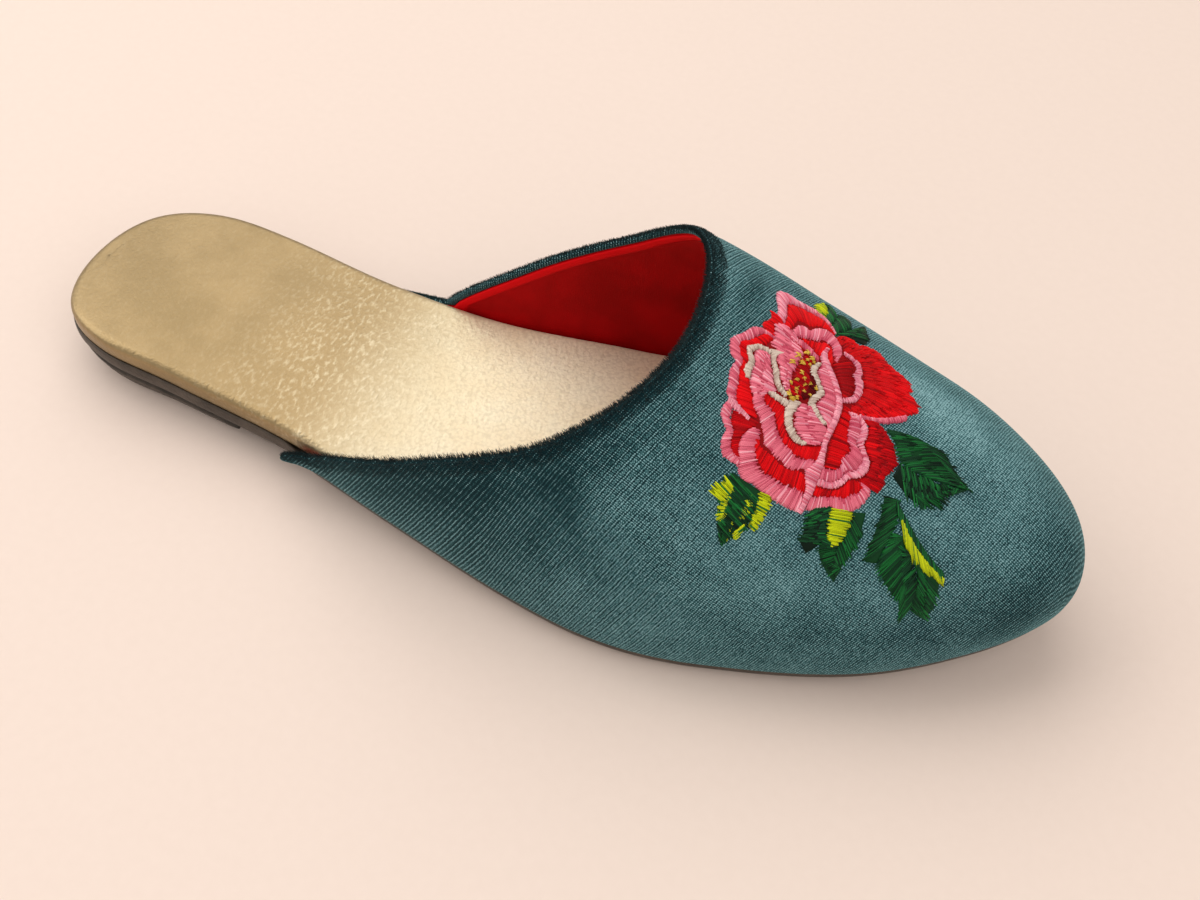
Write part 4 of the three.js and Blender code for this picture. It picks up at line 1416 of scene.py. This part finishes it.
         167.5, -10.8, 168.2, -11.7, 168.3, -13, 168.6, -14.2, 169.1, -15.4, 169.3, -16.4, 169.5, -17.2,
         170.2, -18), (0.1, 0.35), (0.65, 0.25)),
    # Left lobe and the broad band that sweeps down from it.
    Fill(T.ROSE, 2, (171.8, -8, 170.3, -8.2, 169.4, -9, 169.8, -10.2, 170.3, -11.4, 170.2, -12.6, 170.7,
         -13.8, 171.5, -15, 172.9, -16), (172.3, -8.1, 172.9, -9, 173.6, -9.9, 174.4, -10.9, 175.2, -12,
         176.4, -12.8, 176, -13.3, 174.8, -13.6, 174.4, -14.6), (0.2, 0.25), (0.75, 0.4)),
    Fill(T.SCARLET, 0, (174.3, -13.9, 176.4, -14, 178.8, -14.2, 179.3, -15.4, 179.9, -16.8, 181, -18.1, 182.4,
         -18.7, 184.4, -18.7, 186, -18.1, 188.2, -16.8), (174.3, -15.2, 176.2, -16.1, 177.6, -16.4, 178.2,
         -17.2, 179.3, -18.6, 180.4, -19.6, 182, -20.2, 183.8, -21, 185.4, -20.9, 188.2, -20.4), tone=(0.5,
         0.7)),
    Fill(T.ROSE, 2, (172.5, -15.9, 173.2, -17, 174.6, -18, 175.8, -19, 176.8, -20.2, 178, -21.7, 179.8, -22.3,
         181.6, -22.7, 183, -23.3, 184.6, -23.2, 186, -22.5, 187.8, -21.6), (174.4, -14.4, 175, -15.4, 176.6,
         -15.9, 177.9, -16.6, 178.6, -17.8, 179.8, -18.8, 181, -19.7, 182.4, -20.1, 183.8, -20.8, 185.2,
         -20.9, 186.6, -20.4, 188.2, -20), (0.2, 0.5), (1, 0.25)),
)

# Padding under the whole rose.
UNDERLAY = Fill(
    T.CRIMSON, -1,
    (172.5, 7, 170.5, 4, 171, 1, 169.5, -2, 168.5, -5, 166.8, -8, 166.4, -10, 168, -12, 168, -15, 169, -18,
    169.5, -21,
     171, -24, 174, -26, 178, -27.5),
    (179, 7.5, 184, 6, 190, 8.5, 197, 7, 201, 3, 201.5, 0, 198, -4.5, 195, -8, 200, -11, 201.5, -15, 200.5,
    -19,
     198.5, -22, 196, -25.5, 190, -28),
)

LEAVES = {
    "leaf_top": (
        Fill(T.LIME, 1, (176, 9.6, 176, 12, 176.1, 14, 176.8, 16.6), (178.8, 9, 179.3, 11.6, 178.4, 14, 177,
             16.6), (0.3, 0.3), (0.9, 0.5)),
        Fill(T.GREEN, 0, (178.2, 9.4, 178.6, 12, 178, 14.4, 177.3, 18.6), (180.8, 8.4, 180.9, 11.4, 180.6,
             14.4, 179.6, 17.4), (0.2, 0.3), (0.9, 0.6), slant=-0.25),
        Fill(T.BOTTLE, 0, (180.4, 8.2, 180.6, 11.2, 180.5, 14, 180.8, 17.4), (182.3, 6.6, 183.6, 9.6, 184.4,
             12.6, 183.8, 16.8), (0.3, 0.3), (0.7, 0.9), slant=-0.25),
        Fill(T.BOTTLE, 0, (182.5, 6.6, 183.6, 9.6, 184.6, 12.8, 186.2, 18.9), (188.3, 9.8, 188.7, 11.4, 188.2,
             14, 186.5, 19), (0.3, 0.25), (0.9, 0.1), slant=0.3),
    ),
    "leaf_right": (
        Fill(T.GREEN, 0, (198.6, -7.7, 201, -9.6, 202.4, -11.4, 203.2, -13, 205.4, -13.2, 208.6, -13.4, 212,
             -13, 217, -11.9), (198.8, -7.6, 201.2, -6.4, 204, -5.9, 207, -6, 209.6, -6, 211.6, -7.4, 213.6,
             -9, 217.2, -11.6), (0.3, 0.6), (0.85, 0), slant=0.3),
        Fill(T.BOTTLE, 1, (203.6, -7.6, 206, -7.4, 208.4, -7.6, 210.4, -8.8, 212.6, -10.4, 216.6, -11.7),
             (204, -5.9, 207, -6, 209.8, -6, 211.8, -7.4, 213.8, -9.2, 217.6, -11.7), (0.8, 0.5), (0.7, 0.3),
             slant=0.3),
        Fill(T.BOTTLE, 0, (203.2, -13, 205.6, -13.2, 208.6, -13.4, 212, -13.2, 217, -12), (202.8, -16.4,
             204.6, -17.8, 207, -19.4, 209.6, -19.9, 214.6, -14.6), (0.3, 0.7), (0.5, 0.9), slant=0.3),
        Fill(T.GREEN, 1, (207, -17.8, 209.6, -17.6, 212, -15.4, 214.6, -13.4), (207.4, -19.4, 210, -19.8,
             213.6, -18.6, 214.4, -14.6), (0.8, 0.7), (0.6, 0.2), slant=0.3),
    ),
    "leaf_long": (
        Fill(T.GREEN, 0, (202.4, -20.4, 203, -24, 203, -28, 203, -34.6), (205.6, -20.6, 206.6, -24, 206.4,
             -28, 205.6, -34.4), (0.6, 0.4), (0.1, 0.6), slant=-0.35),
        Fill(T.GREEN, 1, (204.6, -20, 207, -22.4, 210, -25.8, 213.4, -29.6, 217.7, -34), (205.4, -22, 206.8,
             -24.2, 209.4, -27.4, 212.6, -31, 217.7, -36), (0.1, 0.2), (0.5, 0.8), slant=0.08),
        Fill(T.LIME, 2, (206.5, -22.6, 208.4, -25, 211.4, -28.8, 214.6, -32.2, 217.9, -35), (206.5, -28,
             208.6, -28.4, 211.2, -32, 214.2, -34.6, 218, -37), (0.3, 0.4), (0.8, 0.5), slant=0.2),
        Fill(T.GREEN, 0, (206.2, -27, 206, -31, 205.6, -34.6, 206.8, -37, 209.4, -40.4, 211.6, -42.8, 212.3,
             -46.6, 212.7, -48), (208.8, -27.6, 210, -31, 210.8, -34, 211.8, -37, 212.8, -40, 213.2, -43,
             213.2, -45.6, 212.8, -48), (0.7, 0.5), (0.7, 0.2), 6, -0.3),
        Fill(T.BOTTLE, 1, (207.6, -28.6, 209.2, -32, 210.2, -36, 211.6, -40, 212.4, -44, 212.7, -47.6), (211,
             -31, 212.6, -34, 213.6, -37.4, 214, -41, 213.6, -44, 212.8, -47.6), (0.8, 0.5), (0.9, 0.2), 6,
             -0.3),
        Fill(T.GREEN, 0, (211.4, -31.4, 212.6, -34, 213.4, -38, 213.6, -42, 214, -44.6), (217.8, -36.4, 217.9,
             -39, 217.8, -42, 217.7, -44, 217.3, -47.4), (0.4, 0.5), (0.15, 0.9), 6, 0.25),
    ),
    "leaf_middle": (
        Fill(T.BOTTLE, 0, (190.2, -27.9, 190, -30, 190.2, -32, 190.2, -34), (193.6, -26.2, 194.4, -29, 195,
             -32, 192.2, -36), (0.6, 0.3), (0.6, 0.9), slant=-0.3),
        Fill(T.LIME, 1, (193.6, -26.6, 194, -29, 194.6, -31, 196, -33.2), (198.2, -25.6, 198.8, -28, 198.4,
             -30.2, 197, -33.2), (0.2, 0.4), (0.85, 0.5)),
        Fill(T.GREEN, 0, (197.6, -25.8, 198, -28, 197.6, -31, 197, -34, 196.6, -37), (200.6, -25, 200.8, -28,
             201, -31, 200.4, -33.6, 199.2, -37), (0.3, 0.6), (0.2, 0.8), slant=0.3),
        Fill(T.GREEN, 0, (193.8, -31.8, 194, -34.4, 195, -36.4, 196.6, -38, 198.7, -39.8), (197.4, -33, 198.4,
             -34.8, 199.2, -36.6, 199, -38, 198.9, -39.8), (0.6, 0.3), (0.5, 0.3), slant=-0.3),
    ),
    "leaf_small": (
        Fill(T.GREEN, 0, (173.6, -27.4, 172.8, -29.6, 173.6, -32, 174, -34.6, 175.2, -37, 176.3, -38.6),
             (181.8, -28.6, 181.4, -31, 180.4, -34, 178.6, -36, 177.4, -37.4, 176.6, -38.6), (0.5, 0.5), (0.6,
             0.3), slant=0.15),
        Fill(T.LIME, 1, (173.2, -28.6, 170.8, -31.6), (176.2, -30, 174.6, -32.4), (0.3, 0.4), (0.9, 0.6)),
        Fill(T.LIME, 1, (174.2, -31, 173.6, -34, 174.8, -35.6), (176, -31, 175.4, -33.6, 176.4, -33.4), (0.3,
             0.4), (0.6, 0.8)),
        Fill(T.LIME, 1, (178.7, -29.4, 177.6, -31.6, 177.8, -33.4), (178.9, -29.4, 180, -31.4, 178.8, -34),
             (0.2, 0.3), (0.8, 0.6)),
        Fill(T.LIME, 1, (179.8, -28.6, 180.2, -31, 180, -34.4), (183.2, -28.6, 182.6, -31.4, 181.7, -35),
             (0.3, 0.4), (0.6, 0.9)),
        Fill(T.LIME, 1, (176.8, -34.4, 177, -38), (177.6, -34.6, 177.4, -37.8), (0.2, 0.2), (0.7, 0.7)),
        Fill(T.LIME, 1, (177.8, -36, 178.6, -37.3), (179.9, -33.6, 179.2, -36.4), (0.3, 0.3), (0.8, 0.6)),
    ),
}

# Second thread that is mixed into an area's first, and its share of the stitches.
MIXED = {
    T.SCARLET: (T.CRIMSON, 0.16),
    T.CRIMSON: (T.SCARLET, 0.14),
    T.ROSE: (T.BLUSH, 0.2),
    T.BLUSH: (T.ROSE, 0.2),
    T.GREEN: (T.BOTTLE, 0.52),
    T.BOTTLE: (T.GREEN, 0.3),
    T.LIME: (T.GREEN, 0.12),
}

# Gold knots in the heart: ahead, round, length and width in millimetres.
KNOTS = np.array(
    [
        (178.7, -3.1, 1.2, 0.9), (180, -3.6, 1.3, 0.8), (180.6, -4.2, 0.9, 0.5), (177.3, -4.7, 1.4, 0.8),
        (179.3, -4.5, 0.8, 0.5),
        (178.7, -5.6, 1.3, 0.8), (180.1, -5.1, 0.7, 0.5), (176.8, -6.6, 1.4, 0.8), (179.3, -7.4, 1.1, 0.7),
        (180.2, -8.1, 0.9, 0.5),
        (181.7, -8.4, 0.8, 0.4), (183, -8.6, 0.9, 0.6), (179, -9.1, 1, 0.5), (180.8, -9.1, 0.8, 0.4),
        (178.1, -10.2, 0.9, 0.5),
        (179.6, -10.6, 1, 0.4), (181.1, -10.3, 0.9, 0.4), (182.4, -10.3, 0.8, 0.4), (179.8, -11.2, 0.8, 0.4),
        (178.6, -12.1, 1.2, 0.8),
        (179.6, -12.6, 1.4, 0.8), (180.3, -12, 0.9, 0.7),
    ]
)


@dataclass
class Embroidery:
    """Raised satin-stitch embroidery on the vamp: each stitch is a small closed strand.

    Attributes:
        foot: Height over the last at which the stitches start, just inside the velvet.
        ground: Thickness of the padding under the stitches.
    """

    last: Last
    groups: SharedGroups
    foot: float = 0.00195
    ground: float = 0.0003
    layer_rise: float = 0.00009
    pitch: float = 0.00028
    width: float = 0.00029
    height: float = 0.0002
    dome_most: float = 0.00028
    dome_share: float = 0.055
    underlay: float = 0.00027
    stray: float = 0.85
    leaf_stray: float = 1.6
    steps: int = 6
    strands: dict[Thread, list[tuple[np.ndarray, ...]]] = field(default_factory=dict)
    rng: np.random.Generator = field(default_factory=lambda: np.random.default_rng(SEED))
    materials: dict[Thread, bpy.types.Material] = field(default_factory=dict)

    def breadth(self, fill: Fill) -> float:
        """Mean distance between the two edges of an area, in metres."""
        share = np.linspace(0, 1, 20)
        across = self.along(fill.start, share) - self.along(fill.end, share)
        return float(np.linalg.norm(across, axis=1).mean())

    def crown(self, fill: Fill) -> float:
        """Height that the middle of an area has over its edges: a share of its breadth."""
        return min(self.dome_most, self.dome_share * self.breadth(fill))

    @staticmethod
    def along(flat: Sequence[float], share: np.ndarray) -> np.ndarray:
        """Points of a smooth path through given points, by share of its length, in metres."""
        points = np.asarray(flat, float).reshape(-1, 2) * MM
        chords = np.linalg.norm(np.diff(points, axis=0), axis=1)
        at = np.concatenate([[0], np.cumsum(chords)]) / chords.sum()
        if len(points) < 3:
            return blend(points[:1], points[1:], share[:, None])
        return np.stack([Curve(at, points[:, 0])(share), Curve(at, points[:, 1])(share)], -1)

    @staticmethod
    def path_length(flat: Sequence[float]) -> float:
        """Length of the straight steps of a path, in metres."""
        points = np.asarray(flat, float).reshape(-1, 2) * MM
        return float(np.linalg.norm(np.diff(points, axis=0), axis=1).sum())

    def keep(
        self, thread: Thread, points: np.ndarray, faces: np.ndarray, uv: np.ndarray, shade: np.ndarray
    ) -> None:
        """Adds points, faces, map and shade to a thread's piece."""
        self.strands.setdefault(thread, []).append((points, faces, uv, shade))

    def pad(self, fill: Fill) -> None:
        """Closed padding under an area, drawn in from its edges; one of layer -1 is flat and low."""
        length = max(self.path_length(fill.start), self.path_length(fill.end))
        rows = max(6, int(length / 0.0006))
        share = np.linspace(0.01, 0.99, rows)
        start, end = self.along(fill.start, share), self.along(fill.end, share)
        across = np.linspace(0.06, 0.94, 9)
        place = blend(start[:, None], end[:, None], across[None, :, None])
        swell = 1 - (2 * across - 1) ** 2
        top = self.foot + self.ground + self.layer_rise * fill.layer - 0.0001 + self.crown(fill) * swell
        if fill.layer < 0:
            top = np.full_like(top, self.foot + self.underlay)
        top = blend(self.foot, top, np.clip(swell * 2.5, 0, 1))
        rim = np.full_like(top, self.foot - 0.0002)
        upper = self.last.chart(place[..., 0], place[..., 1], top[None, :])
        lower = self.last.chart(place[..., 0], place[..., 1], rim[None, :])
        rings = np.concatenate([upper, lower[:, ::-1]], 1)
        columns = rings.shape[1]
        ends = [end_faces(0, columns, False), end_faces(rows - 1, columns, True)]
        faces = np.concatenate([ring_faces(rows, columns), *ends])
        points = rings.reshape(-1, 3)
        corners = points[faces]
        spread = np.cross(corners[:, 2] - corners[:, 0], corners[:, 3] - corners[:, 1])
        middle = points.mean(0)
        if ((corners.mean(1) - middle) * spread).sum() < 0:
            faces = faces[:, ::-1]
        # The padding takes the thread's darkest colour: painted shade that shows in the gaps between the
        # stitches.
        shade = np.zeros(len(points))
        self.keep(fill.thread, points, faces, np.zeros((len(points), 2)), shade)

    def stitch(
        self,
        thread: Thread,
        start: np.ndarray,
        end: np.ndarray,
        foot: np.ndarray,
        shade: np.ndarray,
        width: Any,
    ) -> None:
        """Lays stitches, each a strand whose section is a flat-footed hump.

        Along a stitch the height rises from both ends to a low arch, and the width narrows a
        little at the ends.

        Args:
            thread: Thread to lay.
            start: Chart points where the stitches begin, (n, 2).
            end: Chart points where they end, (n, 2).
            foot: Height of each stitch's foot along its steps, (n, steps).
            shade: Shade at the start and the end of each stitch, (n, 2).
            width: Width of the stitches.
        """
        count = len(start)
        t = np.linspace(0, 1, self.steps)
        arch = np.clip(np.sin(np.pi * np.clip(t, 0.04, 0.96)) * 2.2, 0, 1)
        middle = blend(start[:, None], end[:, None], t[None, :, None])
        ahead = unit(end - start)
        side = np.stack([-ahead[:, 1], ahead[:, 0]], -1)
        half = [(-0.5, 0.0), (-0.42, 0.55), (-0.17, 0.96)]
        section = np.array([*half, *((-across, up) for across, up in reversed(half))])
        width = np.broadcast_to(np.asarray(width, float), (count,))
        out = section[:, 0] * width[:, None, None] * blend(0.55, 1.0, arch)[None, :, None]
        place = middle[:, :, None] + side[:, None, None] * out[..., None]
        rise = blend(self.foot, foot, 0.2 + 0.8 * arch)[..., None] - 0.0001
        rise = rise + section[:, 1] * (self.height * arch)[None, :, None]
        points = self.last.chart(place[..., 0], place[..., 1], rise)
        ring = len(section)
        caps = np.array([(0, 1, 4, 5), (1, 2, 3, 4)])
        far_caps = caps[:, ::-1] + (self.steps - 1) * ring
        one = np.concatenate([ring_faces(self.steps, ring)[:, ::-1], caps, far_caps])
        faces = (np.arange(count)[:, None, None] * self.steps * ring + one[None]).reshape(-1, 4)
        length = np.linalg.norm(end - start, axis=1)
        run = t[None, :, None] * length[:, None, None] + self.rng.uniform(0, 0.01, (count, 1, 1))
        u = run * np.ones((1, 1, ring))
        v = section[:, 0][None, None] * 0.0004 * np.ones((count, self.steps, 1))
        tone = blend(shade[:, :1], shade[:, 1:], t[None])[..., None] * np.ones((1, 1, ring))
        self.keep(thread, points.reshape(-1, 3), faces, np.stack([u, v], -1).reshape(-1, 2), tone.ravel())

    def lay(self, fill: Fill, stray: float) -> None:
        """Fills an area: one stitch for each step along it, split into rows where it is wide.

        Args:
            fill: The area.
            stray: How much of its raggedness the ends of the stitches show.
        """
        length = max(self.path_length(fill.start), self.path_length(fill.end))
        count = max(4, int(length / self.pitch))
        rng = self.rng
        rows = max(1, int(np.ceil(self.breadth(fill) / (fill.longest * MM))))
        t = np.linspace(0, 1, self.steps)
        for row in range(rows):
            share = np.clip((np.arange(count) + 0.5 + rng.uniform(-0.2, 0.2, count)) / count, 0, 1)
            start = self.along(fill.start, share)
            end = self.along(fill.end, np.clip(share + fill.slant, 0, 1))
            reach = np.maximum(np.linalg.norm(end - start, axis=1), 1e-5)
            loose = np.array(fill.ragged)[:, None] * MM / reach
            if row == 0:
                low = rng.normal(0, 1, count) * loose[0] * stray
            else:
                low = (row + rng.uniform(-0.45, 0.35, count)) / rows
            if row == rows - 1:
                high = 1 + rng.normal(0, 1, count) * loose[1] * stray
            else:
                high = (row + 1 + rng.uniform(-0.35, 0.45, count)) / rows
            low, high = np.clip(low, -0.15, 1), np.clip(high, 0, 1.15)
            a, b = blend(start, end, low[:, None]), blend(start, end, high[:, None])
            at = blend(low[:, None], high[:, None], t[None])
            swell = np.clip(1 - (2 * at - 1) ** 2, 0, 1)
            foot = self.foot + self.ground + self.layer_rise * fill.layer + self.crown(fill) * swell
            # Tone along each stitch, partly the threads' own colours and partly painted highlight, with a
            # random change for each stitch.
            light = blend(fill.tone[0], fill.tone[1], np.stack([low, high], 1))
            light = light + rng.normal(0, 0.24, (count, 1))
            fits = np.linalg.norm(b - a, axis=1) > 0.00025
            light = np.clip(light, 0, 1)
            width = self.width * rng.uniform(0.85, 1.15, count)
            other, part = MIXED.get(fill.thread, (fill.thread, 0.0))
            swapped = rng.uniform(0, 1, count) < part
            for thread, chosen in ((fill.thread, fits & ~swapped), (other, fits & swapped)):
                if chosen.any():
                    self.stitch(thread, a[chosen], b[chosen], foot[chosen], light[chosen], width[chosen])

    def knots(self) -> None:
        """Gold knots: three short strands side by side for each."""
        rng = self.rng
        for row in range(3):
            slant = rng.normal(0, 0.12, (len(KNOTS), 1)) * MM
            aside = (row - 1) * KNOTS[:, 3] * MM * 0.33
            middle = KNOTS[:, :2] * MM + np.stack([np.zeros(len(KNOTS)), aside], -1)
            half = np.stack([KNOTS[:, 2] * MM * 0.6 * (1.0 if row == 1 else 0.7), slant[:, 0] * 2], -1)
            rise = self.foot + self.ground + self.dome_most + self.layer_rise * 3
            foot = np.full((len(KNOTS), self.steps), rise)
            shade = np.clip(rng.normal(0.6, 0.2, (len(KNOTS), 2)), 0, 1)
            self.stitch(T.GOLD, middle - half, middle + half, foot, shade, KNOTS[:, 3] * MM * 0.34)

    def pieces(self, prefix: str, slot: str, nodes: Sequence[str]) -> None:
        """Makes one piece for each thread laid so far and forgets the strands."""
        for thread, parts in self.strands.items():
            offsets = np.cumsum([0] + [len(part[0]) for part in parts[:-1]])
            points = np.concatenate([part[0] for part in parts])
            faces = np.concatenate([part[1] + offset for part, offset in zip(parts, offsets)])
            uv = np.concatenate([part[2] for part in parts])
            shade = np.concatenate([part[3] for part in parts])
            piece = make_piece(f"{prefix}_{thread.name.lower()}", points, faces, uv, shade, weld=False)
            finish_piece(piece, self.materials[thread], slot, *nodes)
        self.strands = {}

    def build(self) -> None:
        """Lays the rose and then the leaves."""
        self.materials = {thread: thread.build(self.groups) for thread in Thread}
        self.pad(UNDERLAY)
        for fill in ROSE:
            self.pad(fill)
            self.lay(fill, self.stray)
        self.knots()
        self.pieces("rose", "rose_thread", ("rose",))
        for fills in LEAVES.values():
            for fill in fills:
                if fill.layer == 0 or fill.slant == 0:
                    self.pad(fill)
                self.lay(fill, self.leaf_stray)
        self.pieces("leaves", "leaf_thread", tuple(LEAVES))


# --------------------------------------------------------------------------------------
# Floor, light and camera
# --------------------------------------------------------------------------------------


@dataclass(frozen=True)
class Studio:
    """Pale floor, soft light and the camera."""

    last: Last
    azimuth: float = 21.58
    elevation: float = 49.56
    roll: float = 2.33
    distance: float = 0.31382
    lens: float = 42.09
    target: tuple[float, float, float] = (0.1397, -0.0058, 0.015)
    bright: Colour = (0.575, 0.54, 0.5)
    dim: Colour = (0.165, 0.155, 0.14)
    dim_side: tuple[float, float, float] = (-0.1, -0.6, 0.79)
    lamps: tuple[tuple[str, tuple[float, float, float], float, float, Colour], ...] = (
        ("key lamp", (-0.6, 0.82, 1.3), 1.7, 14.2, (1.0, 0.97, 0.94)),
        ("side lamp", (0.9, -0.5, 1.1), 1.4, 8.0, (1.0, 0.98, 0.96)),
        ("heel lamp", (-1.0, -0.15, 0.75), 1.0, 6.3, (1.0, 0.97, 0.93)),
        ("front lamp", (-0.3, -1.2, 0.6), 1.0, 2.6, (1.0, 0.97, 0.94)),
    )

    def floor(self) -> None:
        """Wide floor under the slipper."""
        half = 1.5
        points = np.array([(-half, -half, 0), (half, -half, 0), (half, half, 0), (-half, half, 0)], float)
        mesh = bpy.data.meshes.new("floor")
        mesh.from_pydata(points.tolist(), [], [(0, 1, 2, 3)])
        floor = bpy.data.objects.new("floor", mesh)
        bpy.context.scene.collection.objects.link(floor)
        material, board, shader = new_material("Pale floor")
        grain = board.noise(board.add("TexCoord").outputs["Object"], 400.0, 4.0)
        colour = board.mix(grain, (0.77, 0.64, 0.568), (0.8, 0.67, 0.598))
        join(board, shader, Base_Color=colour, Roughness=0.8)
        mesh.materials.append(material)

    def lamp(self, name: str, place: Sequence[float], size: float, power: float, colour: Colour) -> None:
        """Square lamp that faces the slipper."""
        data = bpy.data.lights.new(name, "AREA")
        data.shape, data.size, data.energy, data.color = "SQUARE", size, power, colour
        lamp = bpy.data.objects.new(name, data)
        lamp.location = place
        lamp.rotation_euler = Vector((-place[0], -place[1], -place[2])).to_track_quat("-Z", "Y").to_euler()
        bpy.context.scene.collection.objects.link(lamp)

    def light(self) -> None:
        """Soft key light from behind and three weaker ones; the surround is dimmer on the camera's side."""
        for lamp in self.lamps:
            self.lamp(*lamp)
        world = bpy.data.worlds.new("studio")
        bpy.context.scene.world = world
        world.use_nodes = True
        board = NodeBoard(world.node_tree)
        inputs = {0: board.add("TexCoord").outputs["Generated"], 1: self.dim_side}
        towards = board.add("VectorMath", inputs, operation="DOT_PRODUCT")
        dim = board.ramp(towards.outputs["Value"], 0.65, 0.95)
        sky = world.node_tree.nodes["Background"]
        board.tree.links.new(board.mix(dim, self.bright, self.dim), sky.inputs["Color"])
        sky.inputs["Strength"].default_value = 1.0

    def camera(self) -> None:
        """Camera that turns about the target: back from it, then rolled about its own line of sight."""
        azimuth, elevation, roll = np.radians([self.azimuth, self.elevation, self.roll])
        flat = np.cos(elevation)
        back = np.array([np.sin(azimuth) * flat, -np.cos(azimuth) * flat, np.sin(elevation)])
        right = unit(np.cross(-back, (0, 0, 1)))
        up = np.cross(right, -back)
        side = right * np.cos(roll) + up * np.sin(roll)
        top = up * np.cos(roll) - right * np.sin(roll)
        place = np.array(self.target) + (self.last.heel, self.last.middle, 0) + back * self.distance
        data = bpy.data.cameras.new("camera")
        data.sensor_width, data.lens = 36.0, self.lens
        data.clip_start = 0.01
        camera = bpy.data.objects.new("camera", data)
        turned = Matrix(np.stack([side, top, back], 1).tolist()).to_4x4()
        camera.matrix_world = Matrix.Translation(Vector(place)) @ turned
        bpy.context.scene.collection.objects.link(camera)
        bpy.context.scene.camera = camera

    def build(self) -> None:
        """Sets the stage."""
        self.floor()
        self.light()
        self.camera()
        bpy.context.scene.view_settings.view_transform = "Standard"


def main() -> None:
    """Builds the slipper and its stage."""
    logging.basicConfig(level=logging.INFO, format="%(name)s %(message)s")
    last = Last.of_footbed("footbed", Underfoot.clearance)
    groups = SharedGroups()
    Studio(last).build()
    Underfoot(last, groups).build()
    Upper(last, groups).build()
    Embroidery(last, groups).build()


if __name__ == "__main__":
    main()
